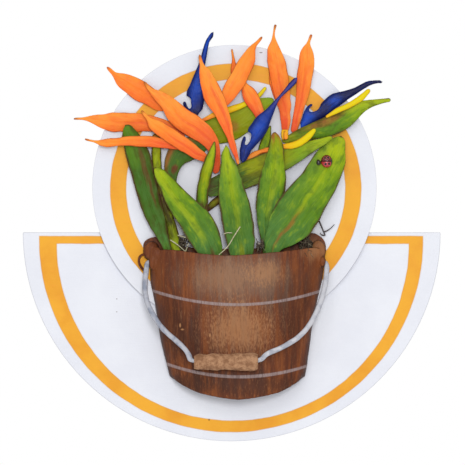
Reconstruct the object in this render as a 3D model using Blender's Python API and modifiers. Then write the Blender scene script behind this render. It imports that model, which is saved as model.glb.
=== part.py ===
"""A painted clay relief wall plaque: a pail of bird-of-paradise flowers on two boards.

Units are metres, +Z is up and -Y faces the room.  The origin lies on the wall, in the middle
of the lower board's back.  Every outline is in millimetres around the middle of the lower
board's flat top edge, and each is placed by the empty "relief_frame".

A blade (sepal, leaf, spathe, lip, stem) is a list of stations from its base to its tip.  A
station is (x, z, width): a point of the middle line and the blade's width there.  Its depth is
how far its face stands in front of the round board at the base, in the middle and at the tip.
"""

import math

import bmesh
import bpy
import numpy as np

MM = 0.001
GAP = 0.3  # glue line or clearance between neighbouring pieces

# Boards
LOWER_RADIUS = 150.0
LOWER_THICK = 5.0
ROUND_RADIUS = 102.0
ROUND_THICK = 4.0
ROUND_CENTRE = (2.0, 32.5)
ROUND_FACE = LOWER_THICK + GAP + ROUND_THICK  # distance of the round board's face from the wall

# Pail
PAIL_DEPTH = 26.0
PAIL_WALL = 3.0
PAIL_FOOT = -ROUND_THICK  # depth of the edge that is glued to the lower board
SKIRT = 0.8  # depth of the pail's sides in front of the round board's face
BACK_RIM_FACE = 2.8
BACK_RIM_THICK = 2.5
BOTTOM_ROUNDING = 0.12  # share of the depth that the lower edge loses

# Bail
BAIL_RADIUS = 2.15
PIVOT_DEPTH = 7.0
PIVOT_Z = -21.0
BAIL_LEAN = math.radians(20.0)
GRIP_DROP = 71.3  # how far below the pivot line the grip hangs
GRIP_LEFT = -26.8
GRIP_RIGHT = 18.8

# Paint: colour and roughness
BOARD_WHITE = ((0.80, 0.81, 0.88), 0.6)
SEPAL_ORANGE = ((0.95, 0.30, 0.05), 0.45)
TONGUE_BLUE = ((0.02, 0.06, 0.40), 0.35)
LIP_YELLOW = ((0.90, 0.62, 0.02), 0.45)
SPATHE_GREEN = ((0.25, 0.45, 0.04), 0.5)
LEAF_GREEN = ((0.18, 0.36, 0.08), 0.5)
PAIL_BROWN = ((0.22, 0.09, 0.04), 0.6)
BAIL_GREY = ((0.55, 0.58, 0.64), 0.45)
GRIP_TAN = ((0.45, 0.26, 0.14), 0.8)
MOSS_BROWN = ((0.25, 0.22, 0.14), 0.9)
FOAM_GREEN = ((0.12, 0.22, 0.10), 0.9)
BEETLE_RED = ((0.45, 0.02, 0.02), 0.3)
BEETLE_BLACK = ((0.01, 0.01, 0.01), 0.3)
HANGER_STEEL = ((0.60, 0.60, 0.58), 0.35)

SEPALS = {
    "sepal_left_top": ([(-45.5, 89.5, 8.5), (-56.5, 96, 13.5), (-66.5, 102, 14.5), (-76, 108, 12.5),
                        (-83.5, 112.5, 7), (-89.5, 118.5, 1.5)], (3, 3.4, 3.4)),
    "sepal_left_broad": ([(-11.5, 42, 4.5), (-11, 53.5, 7), (-14, 64, 11), (-23.5, 73.5, 15.5),
                          (-36.5, 82, 16), (-48.5, 95, 10), (-55.5, 99.5, 7), (-63, 108, 1.5)],
                         (5.5, 10, 7)),
    "sepal_left_long": ([(-34, 68.5, 5.5), (-45.5, 75, 9.5), (-57, 78, 11.5), (-68, 79, 13.5),
                         (-80, 79, 14.5), (-91, 79.5, 12), (-100.5, 81.5, 5.5), (-113.5, 81, 1.5)],
                        (3, 3, 3.2)),
    "sepal_left_low": ([(-34, 61.5, 4.5), (-43, 62.5, 6), (-53, 64.5, 8), (-66, 65.5, 8),
                        (-81.5, 65, 6.5), (-90, 64, 7), (-97.5, 64.5, 3), (-105, 67, 1.5)],
                       (8.8, 11, 7)),
    "sepal_left_front": ([(-15.5, 50, 3.5), (-20.5, 54, 7), (-29.5, 59.5, 10), (-39.5, 66.5, 10.5),
                          (-50, 73.5, 11), (-58, 79, 6.5), (-64.5, 87.5, 1.5)], (8.8, 13.5, 7)),
    "sepal_centre_front": ([(4.8, 48.5, 2), (1.2, 60.5, 4.5), (-2.5, 73, 6.5), (-6.5, 84.5, 10),
                            (-14, 99.5, 14), (-18, 111, 10), (-21.5, 121, 4.5), (-23, 127.5, 1.5)],
                           (11.5, 14, 9)),
    "sepal_centre_wide": ([(-7, 91.5, 7), (-2, 99.5, 11.5), (3, 107, 12.5), (8.5, 117.5, 12.5),
                           (11.5, 124, 11), (16, 133.5, 5.5), (21.5, 140, 2)], (10.5, 10.5, 7)),
    "sepal_centre_spike": ([(1.5, 111, 4.5), (1.5, 119.5, 4.5), (1, 126, 3), (0, 131.5, 1.5)],
                           (3, 3, 3)),
    "sepal_centre_low": ([(21.5, 80, 5.5), (18.5, 88.5, 9.5), (13.5, 97.5, 11), (9, 105, 8.5),
                          (6, 111.5, 4.5)], (8, 8.2, 7.2)),
    "sepal_right_tall": ([(38.5, 72, 5.5), (38.5, 86.5, 8.5), (36.5, 97, 11.5), (34.5, 109.5, 13),
                          (32, 122.5, 13), (30, 132.5, 9), (30, 139, 3), (31.5, 149, 2.5)],
                         (4.5, 6.3, 5)),
    "sepal_right_outer": ([(44.5, 71.5, 5), (47, 83, 6), (50, 95, 8.5), (52, 108, 11),
                           (53.5, 120, 12), (54, 130, 9.5), (55.5, 136, 3), (57.5, 142, 2.5)],
                          (3.5, 4.5, 5)),
    "sepal_right_back": ([(33, 93.5, 3), (30.5, 102, 4.5), (28, 113, 4.5), (26.5, 121.5, 1.5)],
                         (3, 3, 3)),
    "sepal_right_stub": ([(28, 59, 4.5), (21, 58, 5.5), (15, 55.5, 5), (10, 51.5, 1.5)],
                         (6, 5.8, 4.9)),
}
SPATHES = {
    "spathe_left": ([(-43, 34.5, 7), (-43.2, 45.5, 11), (-38.8, 55.5, 17), (-29, 60.5, 17.5),
                     (-17.5, 61.5, 6.5)], (7.2, 6.2, 6)),
    "spathe_centre": ([(-19, 71.5, 14.5), (-7, 75, 23), (6, 80.5, 21.5), (17.5, 89.5, 13),
                       (24.5, 93, 8), (30, 95.5, 3.5)], (3, 3, 3)),
    "spathe_lower": ([(-19, 29.5, 9), (-13, 32.3, 13.5), (-4, 35.3, 16), (8, 40.2, 18.5),
                      (21.5, 46, 19.5), (39, 53, 15), (52, 59.5, 11), (62, 63.5, 7),
                      (72, 68, 2)], (8.6, 8.33, 12)),
    "spathe_right": ([(36, 65.5, 3.5), (47.5, 68.5, 9.5), (60, 73, 12.5), (70, 76, 14.5),
                      (81.5, 82, 14.5), (91.5, 89.5, 10), (100, 92.5, 5.5), (107, 94, 3.5),
                      (114, 95, 3)], (5.5, 8, 6)),
}
LIPS = {
    "lip_centre": ([(-23, 79.5, 2), (-11.5, 84.5, 4.5), (0, 88.5, 5), (11, 92.5, 4.5),
                    (19, 97.5, 3.5), (24.5, 104, 3)], (5.3, 5.3, 4.5)),
    "lip_lower": ([(35.5, 61.4, 3.6), (42.5, 62, 5.2), (49, 64, 5.5), (55.5, 69.5, 5), (60, 74, 3)],
                  (10.2, 12.2, 13.5)),
    "lip_right": ([(67.5, 82.5, 2), (76.5, 87.5, 4.5), (85, 91.5, 4.5), (92, 95.5, 5),
                   (99, 102.5, 3)], (11, 10.5, 9)),
    "lip_stub": ([(38.5, 66.5, 5), (38, 70.5, 5.5), (38, 73.5, 5)], (8, 8, 8)),
}
LEAVES = {
    "leaf_far_left": ([(-43.5, -21, 5), (-45.5, -12.5, 6), (-50.5, -0.5, 9.5), (-56, 14.5, 14.5),
                       (-61, 30.5, 16), (-65, 47.5, 17), (-68, 58.5, 17), (-71.5, 67, 13.5),
                       (-74.5, 73.5, 9.5), (-75, 77.5, 3.5)], (11, 10, 5.5)),
    "leaf_left": ([(-12.5, -24, 10), (-13.5, -18.5, 13.5), (-16, -10, 20), (-20.5, -1, 23.5),
                   (-26.5, 9, 23), (-37, 21, 18), (-45.5, 33.5, 13), (-52, 42.5, 8.5),
                   (-55, 47, 2)], (20, 17, 10.5)),
    "leaf_slim": ([(-18.8, 12.5, 3.5), (-20.6, 18, 7.5), (-21.2, 25, 9.2), (-20, 34, 9.3),
                   (-18, 43.5, 9.2), (-15.8, 51, 8.2), (-13.6, 58.5, 5), (-12, 65, 1.5)],
                  (12.6, 14, 15.2)),
    "leaf_middle": ([(7, -24, 11.5), (7, -14, 18), (6.5, -5.5, 21), (4.5, 6, 22.5),
                     (2.5, 17.5, 22.5), (0, 29, 19.5), (-1, 39, 16), (-2.5, 48.5, 11.5),
                     (-4, 57.5, 6), (-4, 62.5, 1.5)], (20, 17, 12.5)),
    "leaf_centre": ([(26, -21, 5.5), (25.5, -10, 8), (25, 3, 12), (25.5, 14.5, 17),
                     (27.5, 26, 20), (29.5, 37.5, 19.5), (30.5, 50, 14.5), (32, 59, 12),
                     (31.5, 66.5, 9), (30, 71.5, 3.5)], (15, 13.5, 13.4)),
    "leaf_right": ([(28, -24, 6.5), (28, -17, 8.5), (29.5, -10, 13), (35.5, -1, 24.5),
                    (44, 9.5, 32.5), (51, 20.5, 31.5), (60.5, 33, 27.5), (67.5, 46, 25),
                    (72, 55, 22), (76.5, 64.5, 11.5), (79, 69, 4.5)], (20, 16, 5.5)),
}
SMALL_LEAVES = {
    "leaf_behind": ([(18.5, 43.5, 4.5), (20.5, 52, 6.5), (23, 60.5, 8), (26, 70, 5.5),
                     (28, 76.5, 1.5)], (2.9, 2.9, 2.9)),
    "stalk_stub": ([(-18.8, 14.8, 2.5), (-15.5, 18.6, 5), (-11.5, 22, 6), (-6.5, 25, 6),
                    (-1, 27, 4.5)], (3.2, 3.2, 3.2)),
}
STEMS = {
    "stem_left": ([(-38.6, -22.5, 8.5), (-39.6, -14, 8.8), (-42.3, 0.5, 8.4), (-46.6, 14.5, 7.2),
                   (-50.5, 30.5, 7), (-53.5, 46, 7.5), (-54, 59, 7.5), (-54, 71, 6.5)],
                  (7.3, 6.5, 4.1)),
}
SEPAL_FORM = (1.7, 0.9)  # thickness and crown
SPATHE_FORM = (1.7, 0.8)
LIP_FORM = (1.5, 0.6)
LEAF_FORM = (1.9, 1.8)
STEM_FORM = (2.4, 1.2)

# Tongues: outline points, depth of the face
TONGUES = {
    "tongue_left": ([(-13, 143.5), (-16, 136.5), (-17.5, 128), (-19, 119.5), (-19.5, 106),
                     (-19.5, 95.5), (-25, 83.5), (-30, 86), (-33.5, 89.5), (-35, 92.5),
                     (-33.5, 94), (-32, 90.5), (-29.5, 88.5), (-29, 93), (-29.5, 96.5),
                     (-32.5, 98), (-30, 105.5), (-25.5, 116.5), (-22, 126), (-19.5, 135),
                     (-16.5, 141)], 4.6),
    "tongue_centre": ([(47, 111), (42.5, 103), (35.5, 97), (32, 90.5), (28, 80), (24.5, 71),
                       (19, 64), (14, 58.5), (10, 51), (7, 50), (5.8, 55), (6.3, 62), (7.5, 66.5),
                       (9.5, 69), (10, 66), (9.5, 62.5), (12, 63.5), (14, 67.5), (14, 71),
                       (11.5, 72.5), (14.5, 78), (18, 83), (24.5, 88), (32, 96),
                       (38.5, 103.5), (43.5, 109.5)], 11.2),
    "tongue_right": ([(108.5, 107.5), (102, 109), (96, 108), (88.5, 104), (80.5, 101.5),
                      (72.5, 99.5), (67.5, 96), (64, 92), (62.5, 88.5), (59, 86.5), (56, 86.5),
                      (55.5, 88.5), (57.5, 90.5), (58, 92), (55.5, 91.5), (52.5, 87.5),
                      (50.5, 82), (49.5, 75), (54, 76.5), (61, 80), (69, 84), (76.5, 90),
                      (83, 95), (90, 99.5), (98.5, 105), (105, 107)], 4.2),
}
TONGUE_THICK = 2.6


def clear_scene():
    for item in list(bpy.data.objects):
        bpy.data.objects.remove(item, do_unlink=True)


def new_collection(name):
    group = bpy.data.collections.new(name)
    bpy.context.scene.collection.children.link(group)
    return group


clear_scene()
PLAQUE = new_collection("bird_of_paradise_plaque")
CUTTERS = new_collection("cutters")

relief_frame = bpy.data.objects.new("relief_frame", None)
relief_frame.location = (0, 0, LOWER_RADIUS / 2 * MM)
PLAQUE.objects.link(relief_frame)


def paint(name, finish, metallic=0.0):
    """Makes a piece's own material from a (colour, roughness) pair."""
    colour, roughness = finish
    material = bpy.data.materials.new(name)
    material.use_nodes = True
    shader = material.node_tree.nodes["Principled BSDF"]
    shader.inputs["Base Color"].default_value = (*colour, 1.0)
    shader.inputs["Roughness"].default_value = roughness
    shader.inputs["Metallic"].default_value = metallic
    return material


def add_piece(name, data, finish, metallic=0.0, parent=relief_frame, smooth=True):
    """Links one sub-part to the plaque and paints it."""
    piece = bpy.data.objects.new(name, data)
    PLAQUE.objects.link(piece)
    piece.parent = parent
    data.materials.append(paint(name, finish, metallic))
    if smooth and isinstance(data, bpy.types.Mesh):
        data.shade_smooth()
        data.set_sharp_from_angle(angle=math.radians(40))
    return piece


def mesh_from(name, bm):
    mesh = bpy.data.meshes.new(name)
    bm.to_mesh(mesh)
    bm.free()
    return mesh


def place(bm, where):
    """Moves every vertex to where(x, z, depth), all in mm, with depth counted from the round
    board's face towards the room."""
    for vert in bm.verts:
        x, z, depth = where(vert.co)
        vert.co = (x * MM, -(ROUND_FACE + depth) * MM, z * MM)


def add_cutter(name, bm):
    cutter = bpy.data.objects.new(name, mesh_from(name, bm))
    CUTTERS.objects.link(cutter)
    cutter.parent = relief_frame
    cutter.hide_render = True
    cutter.display_type = "WIRE"
    return cutter


def cut(piece, cutter):
    boolean = piece.modifiers.new(cutter.name, "BOOLEAN")
    boolean.operation = "DIFFERENCE"
    boolean.solver = "EXACT"
    boolean.object = cutter


def read_stations(stations, count):
    """Reads count + 1 evenly spaced stations from a smooth curve through the given ones."""
    points = np.array(stations, dtype=float)
    steps = np.linalg.norm(np.diff(points[:, :2], axis=0), axis=1)
    run = np.concatenate([[0.0], np.cumsum(steps)])
    slope = np.gradient(points, run, axis=0)
    at = np.linspace(0.0, run[-1], count + 1)
    k = np.clip(np.searchsorted(run, at, side="right") - 1, 0, len(run) - 2)
    span = (run[k + 1] - run[k])[:, None]
    r = (at - run[k])[:, None] / span
    ease = r * r * (3 - 2 * r)
    enter = r * (1 - r) ** 2
    leave = r * r * (r - 1)
    value = points[k] * (1 - ease) + points[k + 1] * ease
    return value + span * (slope[k] * enter + slope[k + 1] * leave), run[-1]


def add_blade(name, stations, depth, form, finish, across=4):
    """A curved, crowned blade: a shaped grid with Solidify behind its face."""
    thick, crown = form
    length = read_stations(stations, 1)[1]
    rows = max(6, round(length / 5.5))
    spine, _ = read_stations(stations, rows)
    ahead = np.gradient(spine[:, :2], axis=0)
    ahead /= np.linalg.norm(ahead, axis=1)[:, None]
    widest = spine[:, 2].max()
    base, middle, tip = depth

    def where(co):
        row = round((co.y + 1) / 2 * rows)
        t = row / rows
        x, z, width = spine[row]
        width = max(width, 1.0)
        side = ahead[row]
        offset = co.x * width / 2
        face = 2 * (t - 0.5) * (t - 1) * base + 4 * t * (1 - t) * middle + 2 * t * (t - 0.5) * tip
        drop = crown * co.x * co.x * width / widest
        return x + side[1] * offset, z - side[0] * offset, face - drop

    bm = bmesh.new()
    bmesh.ops.create_grid(bm, x_segments=across, y_segments=rows, size=1.0)
    place(bm, where)
    bmesh.ops.recalc_face_normals(bm, faces=bm.faces)
    if bm.faces[0].normal.y > 0:
        bmesh.ops.reverse_faces(bm, faces=bm.faces)
    piece = add_piece(name, mesh_from(name, bm), finish)
    shell = piece.modifiers.new("thickness", "SOLIDIFY")
    shell.thickness = thick * MM
    shell.offset = -1.0
    return piece


def add_blades(table, form, finish):
    for name, (stations, depth) in table.items():
        add_blade(name, stations, depth, form, finish)


def add_plate(name, outline, face, thick, finish, smooth_outline=False, metallic=0.0):
    """A flat plate with the given outline; its front stands at depth face."""
    curve = bpy.data.curves.new(name, "CURVE")
    curve.dimensions = "2D"
    curve.fill_mode = "BOTH"
    curve.extrude = thick / 2 * MM
    if smooth_outline:
        curve.resolution_u = 2
        spline = curve.splines.new("BEZIER")
        spline.bezier_points.add(len(outline) - 1)
        for point, (x, z) in zip(spline.bezier_points, outline):
            point.co = (x * MM, z * MM, 0)
            point.handle_left_type = "AUTO"
            point.handle_right_type = "AUTO"
    else:
        spline = curve.splines.new("POLY")
        spline.points.add(len(outline) - 1)
        for point, (x, z) in zip(spline.points, outline):
            point.co = (x * MM, z * MM, 0, 1)
    spline.use_cyclic_u = True
    piece = add_piece(name, curve, finish, metallic)
    piece.rotation_euler = (math.pi / 2, 0, 0)
    piece.location = (0, -(ROUND_FACE + face - thick / 2) * MM, 0)
    return piece


def as_mesh(piece):
    """Turns a curve object into a welded mesh object, so that it can be cut."""
    bpy.context.view_layer.update()
    seen = piece.evaluated_get(bpy.context.evaluated_depsgraph_get())
    mesh = bpy.data.meshes.new_from_object(seen)
    bm = bmesh.new()
    bm.from_mesh(mesh)
    bmesh.ops.remove_doubles(bm, verts=bm.verts, dist=0.00001)
    bm.to_mesh(mesh)
    bm.free()
    name = piece.name
    solid = bpy.data.objects.new(name + "_mesh", mesh)
    solid.matrix_world = piece.matrix_world
    bpy.data.objects.remove(piece, do_unlink=True)
    solid.name = name
    PLAQUE.objects.link(solid)
    return solid


def cylinder(radius, length, segments):
    """A cylinder along Y around the origin, in metres."""
    bm = bmesh.new()
    bmesh.ops.create_cone(bm, cap_ends=True, segments=segments, radius1=radius * MM,
                          radius2=radius * MM, depth=length * MM)
    for vert in bm.verts:
        vert.co = (vert.co.x, vert.co.z, vert.co.y)
    bmesh.ops.reverse_faces(bm, faces=bm.faces)
    return bm


# ---------------------------------------------------------------- boards and hanger

def add_boards():
    turns = [math.pi + math.pi * step / 64 for step in range(65)]
    arc = [(LOWER_RADIUS * math.cos(a), LOWER_RADIUS * math.sin(a)) for a in turns]
    add_plate("half_round_board", arc, -ROUND_THICK - GAP, LOWER_THICK, BOARD_WHITE)

    bm = cylinder(ROUND_RADIUS, ROUND_THICK, 96)
    board = add_piece("round_board", mesh_from("round_board", bm), BOARD_WHITE)
    board.location = (ROUND_CENTRE[0] * MM, -(ROUND_FACE - ROUND_THICK / 2) * MM,
                      ROUND_CENTRE[1] * MM)
    return board


HANGER_Z = 96.0
HANGER_LENGTH = 42.0
HANGER_HEIGHT = 9.0
HANGER_THICK = 1.0
HANGER_TEETH = 9
NAIL_X = 17.0
NAIL_RADIUS = 0.9
NAIL_LENGTH = 4.0
HANGER_FACE = -ROUND_THICK - GAP  # the hanger's front, just behind the round board's back


def add_hanger(board):
    half = HANGER_LENGTH / 2
    top = HANGER_HEIGHT / 2
    pitch = 2.4
    teeth = []
    for tooth in range(HANGER_TEETH):
        x = (tooth - (HANGER_TEETH - 1) / 2) * pitch
        teeth += [(x - pitch / 2, -top + 1.5), (x, -top + 3.0)]
    teeth.append((HANGER_TEETH / 2 * pitch, -top + 1.5))
    outline = [(-half, top), (-half, -1.0), (-half + 6, -top), *teeth, (half - 6, -top),
               (half, -1.0), (half, top)]
    outline = [(x + ROUND_CENTRE[0], z + HANGER_Z) for x, z in outline]
    plate = as_mesh(add_plate("sawtooth_hanger", outline, HANGER_FACE, HANGER_THICK,
                              HANGER_STEEL, metallic=1.0))
    for side, word in ((-1, "left"), (1, "right")):
        x = ROUND_CENTRE[0] + side * NAIL_X
        z = HANGER_Z + 1.5
        hole = cylinder(NAIL_RADIUS + GAP, 2 * (NAIL_LENGTH - 1), 16)
        bmesh.ops.translate(hole, verts=hole.verts,
                            vec=(x * MM, -(ROUND_FACE - ROUND_THICK) * MM, z * MM))
        cutter = add_cutter("nail_hole_" + word, hole)
        cut(plate, cutter)
        cut(board, cutter)
        add_nail("hanger_nail_" + word, x, z)


def add_nail(name, x, z):
    """A flat-headed nail, turned on its own axis: the profile runs from the head to the point."""
    head = 1.9
    back = ROUND_FACE + HANGER_FACE - HANGER_THICK - GAP  # distance of the head from the wall
    profile = [(0, -0.7), (head, -0.7), (head, 0), (NAIL_RADIUS, 0),
               (NAIL_RADIUS, NAIL_LENGTH - 1.0), (0, NAIL_LENGTH)]
    mesh = bpy.data.meshes.new(name)
    mesh.from_pydata([(r * MM, 0, -h * MM) for r, h in profile],
                     [(k, k + 1) for k in range(len(profile) - 1)], [])
    nail = add_piece(name, mesh, HANGER_STEEL, 1.0)
    turn = nail.modifiers.new("turn", "SCREW")
    turn.steps = 12
    turn.render_steps = 12
    turn.use_merge_vertices = True
    turn.merge_threshold = 0.00001
    nail.rotation_euler = (-math.pi / 2, 0, 0)
    nail.location = (x * MM, -back * MM, z * MM)
    return nail


# ---------------------------------------------------------------- pail

# Height, left edge and right edge of the pail's front, from the bottom up
PAIL_SIDES = [(-122, -40.5, 50.5), (-104, -44.4, 52.6), (-95, -46.6, 54.2), (-76, -51.4, 56.6),
              (-60, -53.6, 59.0), (-46, -55.8, 62.2), (-38, -58.2, 64.2), (-28, -58.8, 66.2),
              (-15, -58.6, 67.4), (5, -58.2, 67.2)]


def pail_edges(z):
    """The pail's left and right edge at height z."""
    heights, left, right = zip(*PAIL_SIDES)
    return float(np.interp(z, heights, left)), float(np.interp(z, heights, right))


def pail_rim(u):
    """Height of the front rim at u, from -1 at the left side to 1 at the right side."""
    lift = 7.0 * abs(u) ** 1.6
    corner = -6.0 * abs(u) ** 14
    return -16.3 + lift + corner + 0.8 * u + 0.3 * math.sin(7 * u)


def pail_bottom(u):
    """Height of the front's lower edge: it dips in the middle, as a round bottom does."""
    return -119.2 + 15.6 * abs(u) ** 2.4 - 0.4 * math.cos(9 * u)


def half_pail(inset, rim_lift, foot):
    """A closed half pail with a flat back at depth foot, inset mm inside the outer face."""
    columns = 28
    rows = 12
    bm = bmesh.new()
    bmesh.ops.create_grid(bm, x_segments=columns, y_segments=rows, size=1.0)

    def where(co):
        angle = co.x * math.pi / 2
        u = math.sin(angle)
        v = (co.y + 1) / 2
        low = pail_bottom(u) + inset
        z = low + (pail_rim(u) + rim_lift - low) * v
        round_off = 1 - BOTTOM_ROUNDING * (1 - v) ** 8
        left, right = pail_edges(z)
        x = (left + right) / 2 + ((right - left) / 2 - inset) * u
        depth = SKIRT + (PAIL_DEPTH - SKIRT - inset) * math.cos(angle) * round_off
        return x, z, depth

    place(bm, where)
    edges = [edge for edge in bm.edges if edge.is_boundary]
    made = bmesh.ops.extrude_edge_only(bm, edges=edges)["geom"]
    for vert in (item for item in made if isinstance(item, bmesh.types.BMVert)):
        vert.co.y = -(ROUND_FACE + foot) * MM
    bmesh.ops.holes_fill(bm, edges=bm.edges)
    bmesh.ops.recalc_face_normals(bm, faces=bm.faces)
    return bm


def add_pail():
    wall = add_piece("pail_wall", mesh_from("pail_wall", half_pail(0.0, 0.0, PAIL_FOOT)),
                     PAIL_BROWN)
    cut(wall, add_cutter("pail_inside", half_pail(PAIL_WALL, 12.0, PAIL_FOOT - 6.0)))

    step_depth = 20.0  # from just in front of the round board to behind the wall
    step = cylinder(ROUND_RADIUS + GAP, step_depth, 96)
    middle = step_depth / 2 - ROUND_FACE - GAP
    bmesh.ops.translate(step, verts=step.verts,
                        vec=(ROUND_CENTRE[0] * MM, middle * MM, ROUND_CENTRE[1] * MM))
    cut(wall, add_cutter("round_board_step", step))

    clearance = 0.5
    bore = cylinder(BAIL_RADIUS + clearance, 2 * ROUND_RADIUS, 16)
    for vert in bore.verts:
        vert.co = (vert.co.y, vert.co.x - (ROUND_FACE + PIVOT_DEPTH) * MM,
                   vert.co.z + PIVOT_Z * MM)
    bmesh.ops.reverse_faces(bore, faces=bore.faces)
    cut(wall, add_cutter("bail_holes", bore))


def add_pail_back():
    """The far rim of the mouth: two lobes beside the leaves, which rest on the wall's corners."""
    foot_z = -22.0
    left_step = -13.0  # just above the corners of the wall
    right_step = -11.4
    outline = [(-54.4, foot_z), (-54.4, left_step), (-63.3, left_step), (-63.7, -9.5), (-62.5, -6.5),
               (-60, -4.5), (-55, -2.7), (-48, -4.5), (-40, -9), (-30, -12), (30, -12),
               (44, -6), (52, -1.5), (58.5, 0), (62, -1.7), (65, -4), (67, -6.5), (67.6, -10),
               (67.6, right_step), (62.8, right_step), (62.8, foot_z)]
    return add_plate("pail_back", outline, BACK_RIM_FACE, BACK_RIM_THICK, PAIL_BROWN)


# A strap loop on the pail's side that guards the end of the bail: x, z and depth
EAR_ROUTE = [(-59.6, -16.4, 3.6), (-62.4, -15.4, 5.2), (-65.2, -16.4, 6.6), (-66.7, -19.2, 7.2),
             (-66.3, -22.2, 6.6), (-64.9, -25.2, 5.0), (-62.6, -27.6, 3.6), (-59.8, -28.4, 3.2)]


def add_rod(name, points, radius, finish):
    """A bent rod through points of (x, z, depth)."""
    curve = bpy.data.curves.new(name, "CURVE")
    curve.dimensions = "3D"
    curve.bevel_depth = radius * MM
    curve.bevel_resolution = 2
    curve.use_fill_caps = True
    spline = curve.splines.new("POLY")
    spline.points.add(len(points) - 1)
    for point, (x, z, depth) in zip(spline.points, points):
        point.co = (x * MM, -(ROUND_FACE + depth) * MM, z * MM, 1)
    return add_piece(name, curve, finish)


# ---------------------------------------------------------------- bail and grip

# x and drop below the pivot line
BAIL_ROUTE = [(-52.6, 0), (-59.3, 0), (-60.7, 1.4), (-61.0, 4.4), (-61.6, 10.4), (-62.4, 19.5),
              (-61.2, 27.1), (-58.6, 33.8), (-52.2, 45.2), (-42.4, 54.1), (-35.5, 59.5),
              (-31.2, 64.8), (-29.6, 69.4), (-28.5, GRIP_DROP), (20.5, GRIP_DROP), (22.4, 68),
              (26, 65.0), (33.5, 62.4), (44.5, 56.3), (50, 51.8), (55.8, 45.4), (62.8, 31.9),
              (66.4, 19.5), (67.9, 9.5), (68.2, 4.0), (67.9, 1.4), (66.5, 0), (59.0, 0)]


def add_bail():
    pivot = bpy.data.objects.new("bail_pivot", None)
    PLAQUE.objects.link(pivot)
    pivot.parent = relief_frame
    pivot.location = (0, -(ROUND_FACE + PIVOT_DEPTH) * MM, PIVOT_Z * MM)
    pivot.rotation_euler = (-BAIL_LEAN, 0, 0)

    curve = bpy.data.curves.new("bail", "CURVE")
    curve.dimensions = "3D"
    curve.bevel_depth = BAIL_RADIUS * MM
    curve.bevel_resolution = 2
    curve.use_fill_caps = True
    spline = curve.splines.new("POLY")
    spline.points.add(len(BAIL_ROUTE) - 1)
    for point, (x, drop) in zip(spline.points, BAIL_ROUTE):
        point.co = (x * MM, 0, -drop / math.cos(BAIL_LEAN) * MM, 1)
    add_piece("bail", curve, BAIL_GREY, parent=pivot)
    add_grip(pivot)


def add_grip(pivot):
    """A hand-rolled grip: a wavy tube turned around the bail."""
    length = GRIP_RIGHT - GRIP_LEFT
    bore = BAIL_RADIUS + GAP
    mean_radius = 6.0
    wave = 0.35
    end_rounding = 1.4
    flare = 1.1
    steps = 18
    profile = [(bore, length)]
    for step in range(steps + 1):
        t = step / steps
        radius = (mean_radius + wave * math.cos(6 * math.pi * t) + flare * math.exp(-(t * 9 - 1) ** 2)
                  - end_rounding * abs(2 * t - 1) ** 16)
        profile.append((radius, length * (1 - t)))
    profile.append((bore, 0.0))
    mesh = bpy.data.meshes.new("grip")
    mesh.from_pydata([(r * MM, 0, h * MM) for r, h in profile],
                     [(k, (k + 1) % len(profile)) for k in range(len(profile))], [])
    grip = add_piece("grip", mesh, GRIP_TAN, parent=pivot)
    turn = grip.modifiers.new("turn", "SCREW")
    turn.steps = 16
    turn.render_steps = 16
    turn.use_merge_vertices = True
    turn.merge_threshold = 0.00001
    grip.rotation_euler = (0, math.pi / 2, 0)
    grip.location = (GRIP_LEFT * MM, 0, -GRIP_DROP / math.cos(BAIL_LEAN) * MM)


# ---------------------------------------------------------------- filling and small pieces

FOAM_MIDDLE = (3.0, -45.0, 7.6)  # x, z and depth
FOAM_SIZE = (70.0, 38.0, 8.8)
FOAM_TAPER = 10.0  # how much wider the top is than the bottom


def add_foam():
    """The block of dry foam in the pail that the leaves and stems are pushed into."""
    bm = bmesh.new()
    bmesh.ops.create_cube(bm, size=1.0)

    def where(co):
        return (FOAM_MIDDLE[0] + co.x * (FOAM_SIZE[0] + co.z * FOAM_TAPER),
                FOAM_MIDDLE[1] + co.z * FOAM_SIZE[1], FOAM_MIDDLE[2] - co.y * FOAM_SIZE[2])

    place(bm, where)
    bmesh.ops.recalc_face_normals(bm, faces=bm.faces)
    add_piece("foam_block", mesh_from("foam_block", bm), FOAM_GREEN, smooth=False)


def add_blob(name, middle, size, finish):
    """A soft tuft as a plain closed lump; middle and size are (x, z, depth)."""
    bm = bmesh.new()
    bmesh.ops.create_icosphere(bm, subdivisions=2, radius=0.5)
    place(bm, lambda co: (middle[0] + co.x * size[0], middle[1] + co.z * size[1],
                          middle[2] - co.y * size[2]))
    bmesh.ops.recalc_face_normals(bm, faces=bm.faces)
    return add_piece(name, mesh_from(name, bm), finish)


def add_dome(name, middle, size, finish, depth, tilt):
    """Half an ellipsoid with a flat underside, resting on a leaf."""
    bm = bmesh.new()
    bmesh.ops.create_uvsphere(bm, u_segments=14, v_segments=8, radius=1.0)
    cutting = bmesh.ops.bisect_plane(bm, geom=bm.verts[:] + bm.edges[:] + bm.faces[:],
                                     plane_co=(0, 0, 0.02), plane_no=(0, 0, 1), clear_inner=True)
    rim = [item for item in cutting["geom_cut"] if isinstance(item, bmesh.types.BMEdge)]
    bmesh.ops.holes_fill(bm, edges=rim)
    for vert in bm.verts:
        vert.co = (vert.co.x * size[0] * MM, vert.co.y * size[1] * MM, vert.co.z * size[2] * MM)
    bmesh.ops.recalc_face_normals(bm, faces=bm.faces)
    dome = add_piece(name, mesh_from(name, bm), finish)
    dome.rotation_euler = (math.pi / 2 - tilt, 0, 0)
    dome.location = (middle[0] * MM, -(ROUND_FACE + depth) * MM, middle[1] * MM)
    return dome


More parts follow.
